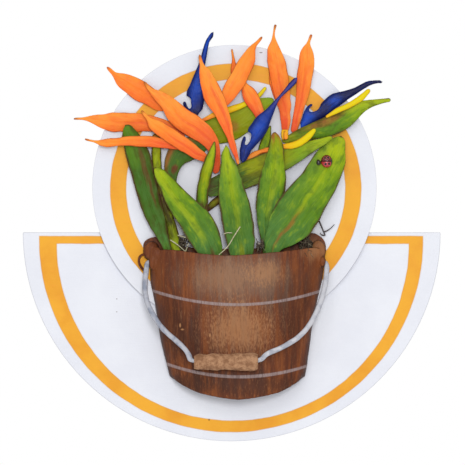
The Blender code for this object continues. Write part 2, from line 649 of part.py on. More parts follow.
def build():
    board = add_boards()
    add_hanger(board)
    add_pail()
    add_pail_back()
    add_rod("ear_left", EAR_ROUTE, 1.1, PAIL_BROWN)
    add_bail()
    add_foam()
    add_blob("moss_left", (-33.5, -7.5, 9.8), (9.5, 15.0, 5.5), MOSS_BROWN)
    add_blob("moss_centre", (20.4, -9.0, 18.2), (6.0, 11.0, 4.0), MOSS_BROWN)
    add_blob("moss_right", (53.0, -9.0, 6.6), (11.0, 13.0, 6.4), MOSS_BROWN)
    add_rod("twig", [(62.5, 8.0, 1.3), (64.5, 4.2, 1.3), (67.2, 0.2, 1.3)], 0.8, MOSS_BROWN)
    add_blades(SEPALS, SEPAL_FORM, SEPAL_ORANGE)
    add_blades(SPATHES, SPATHE_FORM, SPATHE_GREEN)
    add_blades(LIPS, LIP_FORM, LIP_YELLOW)
    add_blades(LEAVES, LEAF_FORM, LEAF_GREEN)
    add_blades(SMALL_LEAVES, SPATHE_FORM, LEAF_GREEN)
    add_blades(STEMS, STEM_FORM, LEAF_GREEN)
    for name, (outline, face) in TONGUES.items():
        add_plate(name, outline, face, TONGUE_THICK, TONGUE_BLUE, smooth_outline=True)
    add_dome("ladybug_body", (68.0, 50.9), (4.3, 4.9, 3.2), BEETLE_RED, 12.0, math.radians(10))
    add_dome("ladybug_head", (61.95, 50.2), (1.5, 2.2, 1.9), BEETLE_BLACK, 12.0, math.radians(10))


build()
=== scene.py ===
"""Looks of the clay relief plaque: softened clay bodies, hand-painted materials and dried moss.

Every clay piece starts as a copy of its CAD node, which is rounded, remeshed finely and worked
like hand-modelled clay.  Its middle line gives two coordinates that the paint follows: how far
along the blade a point lies (0 at the base, 1 at the tip) and how far across (-1 to 1).
"""
import math
from dataclasses import dataclass

import bmesh
import bpy
import numpy as np
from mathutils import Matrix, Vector

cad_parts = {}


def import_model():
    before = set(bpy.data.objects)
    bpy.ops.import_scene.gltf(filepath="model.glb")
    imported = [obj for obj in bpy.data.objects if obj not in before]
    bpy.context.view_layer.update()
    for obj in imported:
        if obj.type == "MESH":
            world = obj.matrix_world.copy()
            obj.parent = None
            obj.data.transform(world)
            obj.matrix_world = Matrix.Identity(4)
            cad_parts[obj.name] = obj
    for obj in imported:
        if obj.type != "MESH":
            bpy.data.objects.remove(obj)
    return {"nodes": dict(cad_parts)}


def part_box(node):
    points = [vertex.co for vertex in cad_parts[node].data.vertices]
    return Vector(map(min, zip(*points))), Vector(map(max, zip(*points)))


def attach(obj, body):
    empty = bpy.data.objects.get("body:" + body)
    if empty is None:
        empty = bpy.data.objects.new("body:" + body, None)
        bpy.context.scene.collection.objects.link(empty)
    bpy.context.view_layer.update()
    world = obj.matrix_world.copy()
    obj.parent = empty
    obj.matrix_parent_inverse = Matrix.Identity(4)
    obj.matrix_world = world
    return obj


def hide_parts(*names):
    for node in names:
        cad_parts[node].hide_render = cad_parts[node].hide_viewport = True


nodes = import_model()["nodes"]
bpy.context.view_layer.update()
scene = bpy.context.scene

MM = 0.001


# ---- colours

def rgb(red, green, blue):
    """A display colour from 0 to 255 as the linear colour that shaders take."""
    def linear(value):
        value /= 255
        return value / 12.92 if value <= 0.04045 else ((value + 0.055) / 1.055) ** 2.4
    return linear(red), linear(green), linear(blue)


BOARD_WHITE = rgb(232, 234, 241)
BOARD_SHADE = rgb(227, 229, 237)
BOARD_EDGE_SHADE = rgb(186, 188, 202)
BAND_ORANGE = rgb(240, 172, 48)
BAND_DEEP = rgb(230, 154, 38)
RAW_BOARD = rgb(176, 140, 100)
RAW_FIBRE = rgb(140, 104, 70)

AMBER = rgb(255, 162, 64)
ORANGE = rgb(254, 144, 50)
TANGERINE = rgb(250, 126, 44)
CORAL = rgb(242, 102, 48)
SCARLET = rgb(228, 78, 44)
BRICK = rgb(132, 56, 26)
RUST = rgb(160, 84, 40)

COBALT = rgb(10, 66, 174)
ULTRAMARINE = rgb(12, 42, 128)
NAVY = rgb(20, 22, 68)
VIOLET = rgb(64, 60, 130)

LEMON = rgb(228, 206, 10)
GOLD = rgb(240, 180, 22)

LIME = rgb(168, 186, 20)
GRASS = rgb(126, 158, 20)
LEAF = rgb(88, 128, 26)
SAGE = rgb(76, 120, 52)
FOREST = rgb(66, 102, 30)
OLIVE = rgb(140, 146, 6)
MURK = rgb(68, 70, 14)
RIB = rgb(154, 172, 28)
UMBER = rgb(78, 50, 30)
MAROON = rgb(106, 48, 30)

PAIL_DARK = rgb(64, 36, 24)
PAIL_BROWN = rgb(100, 50, 26)
PAIL_RUST = rgb(132, 72, 32)
PAIL_TAN = rgb(180, 128, 84)
PAIL_GREY = rgb(126, 98, 80)
HOOP = rgb(154, 136, 134)
BAIL_PALE = rgb(200, 200, 206)
BAIL_GREY = rgb(140, 146, 162)
BAIL_SIDE_SHADE = rgb(78, 78, 90)
CORK = rgb(184, 140, 106)
CORK_DARK = rgb(138, 98, 70)

BEETLE_RED = rgb(168, 30, 36)
BEETLE_MAROON = rgb(98, 22, 16)
BEETLE_BLACK = rgb(16, 14, 14)
CHALK = rgb(238, 234, 226)


# ---- shader graphs

class Paint:
    """A node material while it is being put together."""

    def __init__(self, name, roughness, specular=0.22):
        self.material = bpy.data.materials.new(name)
        self.material.use_nodes = True
        tree = self.material.node_tree
        self.tree = tree
        self.shader = tree.nodes["Principled BSDF"]
        self.shader.inputs["Roughness"].default_value = roughness
        self.shader.inputs["Specular IOR Level"].default_value = specular

    def feed(self, socket, value):
        if isinstance(value, bpy.types.NodeSocket):
            self.tree.links.new(value, socket)
        elif isinstance(value, tuple) and socket.type == "RGBA":
            socket.default_value = (*value, 1.0)
        else:
            socket.default_value = value

    def node(self, kind, *values, out=0, **settings):
        made = self.tree.nodes.new("ShaderNode" + kind)
        for key, setting in settings.items():
            setattr(made, key, setting)
        for socket, value in zip(made.inputs, values):
            if value is not None:
                self.feed(socket, value)
        return made.outputs[out]

    def attribute(self, name, part=None):
        vector = self.node("Attribute", attribute_name=name, out=1)
        return vector if part is None else self.split(vector, part)

    def place(self):
        return self.node("TexCoord", out=3)

    def split(self, vector, part):
        return self.node("SeparateXYZ", vector, out=part)

    def maths(self, operation, a, b=None):
        return self.node("Math", a, b, operation=operation)

    def off(self, x, z, middle_x, middle_z, wide=1.0, tall=1.0):
        """How far (x, z) lies from a middle, counted in the half sizes wide and tall."""
        dx = self.times(self.plus(x, -middle_x), 1 / wide)
        dz = self.times(self.plus(z, -middle_z), 1 / tall)
        return self.maths("SQRT", self.plus(self.times(dx, dx), self.times(dz, dz)))

    def noise(self, vector, size, detail=3.0, rough=0.55, warp=0.0):
        made = self.tree.nodes.new("ShaderNodeTexNoise")
        self.feed(made.inputs["Vector"], vector)
        made.inputs["Scale"].default_value = size
        made.inputs["Detail"].default_value = detail
        made.inputs["Roughness"].default_value = rough
        made.inputs["Distortion"].default_value = warp
        return made.outputs[0]

    def streaks(self, vector, scale, detail=3.0, rough=0.55, warp=0.0):
        """Noise with its own scale along each axis."""
        grown = self.node("VectorMath", vector, scale, operation="MULTIPLY")
        return self.noise(grown, 1.0, detail, rough, warp)

    def cells(self, vector, size):
        made = self.tree.nodes.new("ShaderNodeTexVoronoi")
        self.feed(made.inputs["Vector"], vector)
        made.inputs["Scale"].default_value = size
        return made.outputs[0]

    def step(self, value, low, high, bottom=0.0, top=1.0):
        """A smooth step from bottom at low to top at high; low may be the larger."""
        made = self.tree.nodes.new("ShaderNodeMapRange")
        made.interpolation_type = "SMOOTHSTEP"
        if low > high:
            low, high, bottom, top = high, low, top, bottom
        for socket, number in zip(made.inputs, (value, low, high, bottom, top)):
            self.feed(socket, number)
        return made.outputs[0]

    def ramp(self, value, stops):
        made = self.tree.nodes.new("ShaderNodeValToRGB")
        self.feed(made.inputs[0], value)
        steps = made.color_ramp.elements
        while len(steps) < len(stops):
            steps.new(0.5)
        for step, (at, colour) in zip(steps, stops):
            step.position = at
            step.color = (*colour, 1.0)
        return made.outputs[0]

    def mix(self, share, a, b):
        made = self.tree.nodes.new("ShaderNodeMix")
        made.data_type = "RGBA"
        self.feed(made.inputs[0], share)
        self.feed(made.inputs[6], a)
        self.feed(made.inputs[7], b)
        return made.outputs[2]

    def tint(self, colour, tint, value, low, high, most=1.0):
        """Turns colour into tint, by up to most, as value goes from low to high."""
        return self.mix(self.step(value, low, high, 0.0, most), colour, tint)

    def times(self, a, b):
        return self.maths("MULTIPLY", a, b)

    def plus(self, a, b):
        return self.maths("ADD", a, b)

    def sway(self, value, amount):
        """A noise around 0.5 as one around 0."""
        return self.times(self.plus(value, -0.5), amount)

    def plan(self):
        """A point's x and z in mm."""
        place = self.place()
        return self.times(self.split(place, 0), 1000.0), self.times(self.split(place, 2), 1000.0)

    def finish(self, colour, height, deep, roughness=None):
        """Connects the colour and a bump whose full height is deep mm."""
        bump = self.tree.nodes.new("ShaderNodeBump")
        bump.inputs["Distance"].default_value = deep * MM
        bump.inputs["Strength"].default_value = 1.0
        self.feed(bump.inputs["Height"], height)
        self.feed(self.shader.inputs["Base Color"], colour)
        self.feed(self.shader.inputs["Normal"], bump.outputs[0])
        if roughness is not None:
            self.feed(self.shader.inputs["Roughness"], roughness)
        return self.material


# ---- working the clay

CRISP = math.radians(55)  # edges that turn more than this stay crisp


def welded_copy(node):
    """A bmesh copy of a CAD node with its corners joined."""
    bm = bmesh.new()
    bm.from_mesh(nodes[node].data)
    bmesh.ops.remove_doubles(bm, verts=bm.verts, dist=0.000002)
    return bm


def link_piece(name, mesh):
    piece = bpy.data.objects.new(name, mesh)
    scene.collection.objects.link(piece)
    return piece


def settle(piece, node, body="plaque"):
    """Hangs a piece on the body that carries it and hides the CAD node that it replaces."""
    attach(piece, body)
    if node:
        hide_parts(node)


def fixed(piece):
    """Applies a piece's modifiers."""
    bpy.context.view_layer.update()
    seen = piece.evaluated_get(bpy.context.evaluated_depsgraph_get())
    mesh = bpy.data.meshes.new_from_object(seen)
    piece.modifiers.clear()
    piece.data = mesh
    mesh.shade_smooth()
    return piece


def fine_copy(node, voxel, levels=2, smoothing=4, suffix="clay", pads=()):
    """A finely meshed, closed copy of a CAD node; voxel is in mm.  Its faces are subdivided to
    smooth curves, and its rim keeps its place.  Each pad is an ellipsoid of clay pressed onto it:
    its middle and half sizes, as x, z and distance from the wall in mm."""
    bm = welded_copy(node)
    for (x, z, out), (wide, tall, deep) in pads:
        ball = bmesh.ops.create_icosphere(bm, subdivisions=3, radius=MM)["verts"]
        for vert in ball:
            vert.co = (x * MM + vert.co.x * wide, -out * MM + vert.co.y * deep, z * MM + vert.co.z * tall)
    bmesh.ops.join_triangles(bm, faces=bm.faces, angle_face_threshold=0.7,
                             angle_shape_threshold=0.7)
    crease = bm.edges.layers.float.new("crease_edge")
    for edge in bm.edges:
        if edge.calc_face_angle(0.0) > CRISP:
            edge[crease] = 1.0
    mesh = bpy.data.meshes.new(node + "_" + suffix)
    bm.to_mesh(mesh)
    bm.free()
    piece = link_piece(node + "_" + suffix, mesh)
    if levels:
        rounding = piece.modifiers.new("rounding", "SUBSURF")
        rounding.use_creases = True
        rounding.levels = levels
        rounding.render_levels = levels
    remesh = piece.modifiers.new("remesh", "REMESH")
    remesh.mode = "VOXEL"
    remesh.voxel_size = voxel * MM
    soften = piece.modifiers.new("soften", "SMOOTH")
    soften.factor = 0.5
    soften.iterations = smoothing
    return fixed(piece)


def read(mesh):
    """Vertex places in mm and unit normals."""
    places = np.empty(len(mesh.vertices) * 3)
    mesh.vertices.foreach_get("co", places)
    normals = np.empty(len(mesh.vertices) * 3, dtype=np.float32)
    mesh.vertex_normals.foreach_get("vector", normals)
    return places.reshape(-1, 3) / MM, normals.reshape(-1, 3).astype(float)


def write(mesh, places):
    mesh.vertices.foreach_set("co", (places * MM).ravel())
    mesh.update()


def keep(mesh, name, values):
    """Stores one vector a vertex for the materials."""
    made = mesh.attributes.new(name, "FLOAT_VECTOR", "POINT")
    made.data.foreach_set("vector", np.ascontiguousarray(values, dtype=np.float32).ravel())


def lumps(places, size, seed):
    """Smooth random waves about size mm long, between -1 and 1."""
    rng = np.random.default_rng(seed)
    waves = 7
    total = np.zeros(len(places))
    for _ in range(waves):
        way = rng.normal(size=3)
        way *= 2 * math.pi / (np.linalg.norm(way) * size * rng.uniform(0.7, 1.5))
        total += np.sin(places @ way + rng.uniform(0, 2 * math.pi))
    return total * 1.6 / waves


def bump_at(value, middle, half):
    """A soft bump, 1 at middle and near 0 beyond half on either side."""
    return np.exp(-((value - middle) / half) ** 2)


MOUTH = np.array([4.0, 55.0])  # x and z of the middle of the pail's mouth, in mm


def along_and_across(flat):
    """Follows a blade's middle line.  flat holds x and z in mm.  Returns how far along each point
    lies (0 to 1), how far across (-1 to 1), the blade's length, each point's half width and the
    direction in which across grows."""
    middle = flat.mean(axis=0)
    _, _, axes = np.linalg.svd(flat - middle, full_matrices=False)
    way = axes[0]
    run = (flat - middle) @ way
    stops = 15  # points of the middle line
    rounds = 4  # times that it is moved to the middle of the blade
    beyond = 1e3  # mm that its two ends reach past the blade
    knots = np.linspace(run.min(), run.max(), stops)
    line = middle + knots[:, None] * way
    for _ in range(rounds):
        ahead = np.gradient(line, axis=0)
        ahead /= np.linalg.norm(ahead, axis=1)[:, None]
        steps = np.linalg.norm(np.diff(line, axis=0), axis=1)
        at = np.concatenate([[0.0], np.cumsum(steps)])
        best = np.full(len(flat), np.inf)
        run = np.zeros(len(flat))
        aside = np.zeros(len(flat))
        sideways = np.zeros((len(flat), 2))
        for k in range(stops - 1):
            start = line[k]
            edge = (line[k + 1] - start) / steps[k]
            reach = (flat - start) @ edge
            low = -beyond if k == 0 else 0.0
            high = beyond if k == stops - 2 else steps[k]
            held = np.clip(reach, low, high)
            away = flat - start - held[:, None] * edge
            gap = (away ** 2).sum(axis=1)
            near = gap < best
            best[near] = gap[near]
            run[near] = at[k] + held[near]
            across_edge = np.array([-edge[1], edge[0]])
            aside[near] = away[near] @ across_edge
            sideways[near] = across_edge
        centres = np.zeros(stops)
        halves = np.zeros(stops)
        reachable = np.linspace(run.min(), run.max(), stops)
        window = (run.max() - run.min()) / stops * 0.6
        for k, here in enumerate(reachable):
            near = np.abs(run - here) < window
            if not near.any():
                near = np.abs(run - here) < 3 * window
            low, high = aside[near].min(), aside[near].max()
            centres[k] = (low + high) / 2
            halves[k] = (high - low) / 2
        spots = np.stack([np.interp(reachable, at, line[:, 0]), np.interp(reachable, at, line[:, 1])], 1)
        ways = np.stack([np.interp(reachable, at, ahead[:, 0]), np.interp(reachable, at, ahead[:, 1])], 1)
        moved = spots + centres[:, None] * np.stack([-ways[:, 1], ways[:, 0]], 1)
        calm = moved.copy()
        calm[1:-1] = (moved[:-2] + 2 * moved[1:-1] + moved[2:]) / 4
        line = calm
    share = (run - run.min()) / (run.max() - run.min())
    half = np.maximum(np.interp(run, reachable, halves), 0.6)
    across = (aside - np.interp(run, reachable, centres)) / half
    if np.linalg.norm(line[0] - MOUTH) > np.linalg.norm(line[-1] - MOUTH):
        share = 1 - share
    # across grows upwards, or to the right on an upright blade
    rise = (line[-1] - line[0]) / np.linalg.norm(line[-1] - line[0])
    if -rise[1] * 0.4 + rise[0] < 0:
        across = -across
        sideways = -sideways
    return share, np.clip(across, -1.2, 1.2), run.max() - run.min(), half, sideways


@dataclass
class Form:
    """How one kind of blade is worked, in mm but for the shares."""
    crease: float = 0.0  # the groove down its middle
    crease_width: float = 0.12  # share of the half width
    edge: float = 0.0  # how much thinner the edges are
    ruffle: float = 0.0  # waves of the rim
    wobble: float = 0.0  # waves of the outline
    lump: float = 0.0
    ridge: float = 0.0  # fine ribs along the face
    swell: float = 0.0
    neck: float = 0.0  # share of the width that is lost just before the tip


NECK_AT = 6.5  # distance of the neck from the tip, in mm
NECK_REACH = 4.0


BLADE_VOXEL = 0.4


def work_blade(node, form, levels, smoothing, seed):
    """Makes one worked blade from its CAD node and keeps its paint coordinates."""
    piece = fine_copy(node, BLADE_VOXEL, levels, smoothing)
    mesh = piece.data
    places, normals = read(mesh)
    along, across, length, half, sideways = along_and_across(places[:, [0, 2]])
    front = np.clip(-normals[:, 1], 0, 1)
    side = np.abs(across)

    inner = np.clip(1 - side, 0, 1)
    fade = np.clip(along / 0.12, 0, 1) * np.clip((1 - along) / 0.15, 0, 1)
    height = -form.crease * bump_at(across, 0, form.crease_width) * fade
    height -= form.edge * side ** 4
    height += form.swell * (1 - side ** 2)
    height += form.lump * lumps(places, 7.0, seed)
    height += form.lump * 0.5 * lumps(places, 3.0, seed + 50)
    height += form.ridge * np.sin(across * half * 2.6 + 1.5 * lumps(places, 18.0, seed + 9)) * inner
    places += normals * (height * front)[:, None]
    off_end = np.minimum(along, 1 - along) * length
    rounded = np.sqrt(1 - np.clip(1 - off_end / np.minimum(half, 3.0), 0, 0.95) ** 2)
    slimmer = 1 - form.neck * bump_at((1 - along) * length, NECK_AT, NECK_REACH)
    places[:, [0, 2]] += sideways * (across * half * (rounded * slimmer - 1))[:, None]
    places[:, 1] -= form.ruffle * side ** 2 * lumps(places, 16.0, seed + 20) * fade
    places[:, 0] += form.wobble * lumps(places, 11.0, seed + 30)
    places[:, 2] += form.wobble * lumps(places, 11.0, seed + 31)
    write(mesh, places)

    _, normals = read(mesh)
    facing = np.clip(-normals[:, 1], -1, 1)
    keep(mesh, "flow", np.stack([along, across * 0.5 + 0.5, facing * 0.5 + 0.5], 1))
    keep(mesh, "stroke", np.stack([along * length, across * half, np.full(len(along), seed * 7.3)], 1))
    from_rim = half * (1 - np.abs(across))
    from_tip = (1 - along) * length
    keep(mesh, "rim", np.stack([np.minimum(from_rim, from_tip), from_rim, from_tip], 1))
    return piece


# ---- blade paint

@dataclass
class Coat:
    """The paint on one blade."""
    stops: list  # colours from the base to the tip
    # edge: colour of the dark rim paint, and of the painted shade on the sides and back
    edge: tuple
    low: tuple = None  # tint of the lower edge and its strength
    high: tuple = None
    rib: tuple = None  # stripe: colour, middle, half width, start, end, strength
    spots: tuple = ()  # each: along, across, size along, size across, colour, strength
    streak: float = 0.35
    light: tuple = LIME
    dark: tuple = UMBER
    roughness: float = 0.48
    # outline: strength of the rim paint and of that painted shade
    outline: float = 0.8
    rim: float = 0.9  # width of the darker rim in mm
    tip: tuple = None  # colour and where it starts
    # mottle: strength of the blotches, and of the painted shade towards both long edges
    mottle: float = 0.3


def blade_material(name, coat):
    p = Paint(name, coat.roughness, 0.12)
    along = p.attribute("flow", 0)
    across = p.attribute("flow", 1)
    facing = p.attribute("flow", 2)
    stroke = p.attribute("stroke")
    cloud = p.streaks(stroke, (0.09, 0.2, 1.0), 3.0)
    brush = p.streaks(stroke, (0.10, 1.5, 1.0), 4.0, 0.6, 0.3)
    fine = p.streaks(stroke, (0.5, 5.0, 1.0), 3.0, 0.6)

    # Brush strokes shift the colour along the blade, so that its tones blend raggedly.
    ragged = p.plus(p.sway(brush, 0.30), p.sway(cloud, 0.25))
    colour = p.ramp(p.plus(along, ragged), coat.stops)
    wide = p.plus(across, p.sway(brush, 0.22))
    if coat.low:
        tint, amount = coat.low
        colour = p.tint(colour, tint, wide, 0.42, 0.08, amount)
    if coat.high:
        tint, amount = coat.high
        colour = p.tint(colour, tint, wide, 0.58, 0.92, amount)
    if coat.rib:
        tint, middle, half, start, end, amount = coat.rib
        off = p.maths("ABSOLUTE", p.plus(wide, -middle))
        stripe = p.step(off, half, half * 0.2, 0.0, amount)
        reach = p.times(p.step(along, start - 0.08, start + 0.08), p.step(along, end + 0.1, end - 0.1))
        colour = p.mix(p.times(stripe, reach), colour, tint)
    for at, aside, size_along, size_across, tint, amount in coat.spots:
        away = p.off(along, across, at, aside, size_along, size_across)
        away = p.plus(away, p.sway(brush, 0.9))
        colour = p.tint(colour, tint, away, 1.0, 0.35, amount)
    if coat.tip:
        tint, start = coat.tip
        colour = p.tint(colour, tint, along, start, 1.0, 0.9)
    blotch = p.streaks(stroke, (0.12, 0.24, 1.0), 3.0, 0.5)
    # Both halves of the blade darken towards their long edges as painted shade, broken up by the
    # blotches.
    side = p.maths("ABSOLUTE", p.plus(p.times(wide, 2.0), -1.0))
    shaded = p.plus(side, p.sway(blotch, -1.2))
    colour = p.tint(colour, coat.dark, shaded, 0.55, 1.05, coat.mottle * 0.8)
    colour = p.tint(colour, coat.dark, blotch, 0.50, 0.34, coat.mottle)
    colour = p.tint(colour, coat.light, blotch, 0.54, 0.74, coat.mottle * 0.8)
    colour = p.tint(colour, coat.light, brush, 0.55, 0.75, coat.streak)
    colour = p.tint(colour, coat.dark, brush, 0.42, 0.24, coat.streak)
    colour = p.tint(colour, coat.light, fine, 0.62, 0.78, coat.streak * 0.5)

    # The rim is rubbed with darker paint, which is partly painted shade along the edges; the sides and
    # the hidden back, facing away from the front, get the same dark colour as painted shade.
    chewed = p.plus(p.times(fine, 0.5), p.times(blotch, 0.5))
    off_rim = p.plus(p.attribute("rim", 0), p.sway(chewed, coat.rim * 2.4))
    rim = p.step(off_rim, coat.rim, coat.rim * 0.2)
    side_shade = p.step(facing, 0.84, 0.62)
    rim_paint_and_side_shade = p.maths("MAXIMUM", p.times(rim, 0.9), side_shade)
    colour = p.mix(p.times(rim_paint_and_side_shade, coat.outline), colour, coat.edge)

    grain = p.noise(p.place(), 2600.0, 2.0, 0.5)
    height = p.plus(p.times(brush, 0.5), p.plus(p.times(fine, 0.3), p.times(grain, 0.2)))
    rough = p.step(brush, 0.25, 0.75, coat.roughness + 0.08, coat.roughness - 0.06)
    return p.finish(colour, height, 0.22, rough)


SEPAL_STOPS = [(0.0, SCARLET), (0.2, CORAL), (0.48, TANGERINE), (0.72, ORANGE), (1.0, AMBER)]
SEPAL_FORM = Form(crease=0.32, crease_width=0.14, edge=0.45, ruffle=0.5, wobble=0.4, lump=0.16,
                  ridge=0.05, neck=0.35)


def sepal(red=(SCARLET, 0.48, 0.10, 0.05, 0.6, 0.45), low=(CORAL, 0.35), spots=(), stops=SEPAL_STOPS):
    # The amber high tint along the upper edge is a painted highlight, and the low tint along the lower
    # edge is painted shade.
    return Coat(stops, BRICK, low=low, high=(AMBER, 0.45), rib=red, spots=spots, streak=0.28,
                light=AMBER, dark=CORAL, roughness=0.42, outline=0.62, rim=0.6, tip=(RUST, 0.93))


TONGUE_FORM = Form(edge=0.7, wobble=0.12, lump=0.10, swell=0.55)


def tongue(stops):
    return Coat(stops, NAVY, low=(NAVY, 0.75), high=(NAVY, 0.7), streak=0.4, light=COBALT, dark=NAVY,
                roughness=0.34, rim=0.8, mottle=0.2)


SPATHE_FORM = Form(crease=0.2, crease_width=0.2, edge=0.5, ruffle=0.5, wobble=0.25, lump=0.16, ridge=0.07)
LIP_FORM = Form(edge=0.4, wobble=0.2, lump=0.10, swell=0.2)
LEAF_FORM = Form(crease=0.5, crease_width=0.11, edge=0.6, ruffle=0.8, wobble=0.35, lump=0.2, ridge=0.10)
STEM_FORM = Form(edge=0.5, wobble=0.2, lump=0.15, swell=0.2, ridge=0.06)


def leaf(stops, **more):
    settings = dict(light=LIME, dark=FOREST, streak=0.34, roughness=0.5, outline=0.95, rim=1.7,
                    mottle=0.45)
    settings.update(more)
    return Coat(stops, UMBER, **settings)


def lip(stops):
    return Coat(stops, RUST, high=(LEMON, 0.4), streak=0.25, light=LEMON, dark=GOLD,
                roughness=0.38, outline=0.6, rim=0.6, mottle=0.2)


LEAF_STOPS = [(0.0, FOREST), (0.15, SAGE), (0.45, LEAF), (0.74, GRASS), (0.92, LIME), (1.0, RIB)]

# Each first word of a blade's node name: how it is worked and the slot of its finish
KINDS = {
    "sepal": (SEPAL_FORM, "sepal_orange"),
    "tongue": (TONGUE_FORM, "tongue_blue"),
    "spathe": (SPATHE_FORM, "spathe_green"),
    "lip": (LIP_FORM, "lip_yellow"),
    "leaf": (LEAF_FORM, "leaf_green"),
    "stalk": (STEM_FORM, "leaf_green"),
    "stem": (STEM_FORM, "leaf_green"),
}

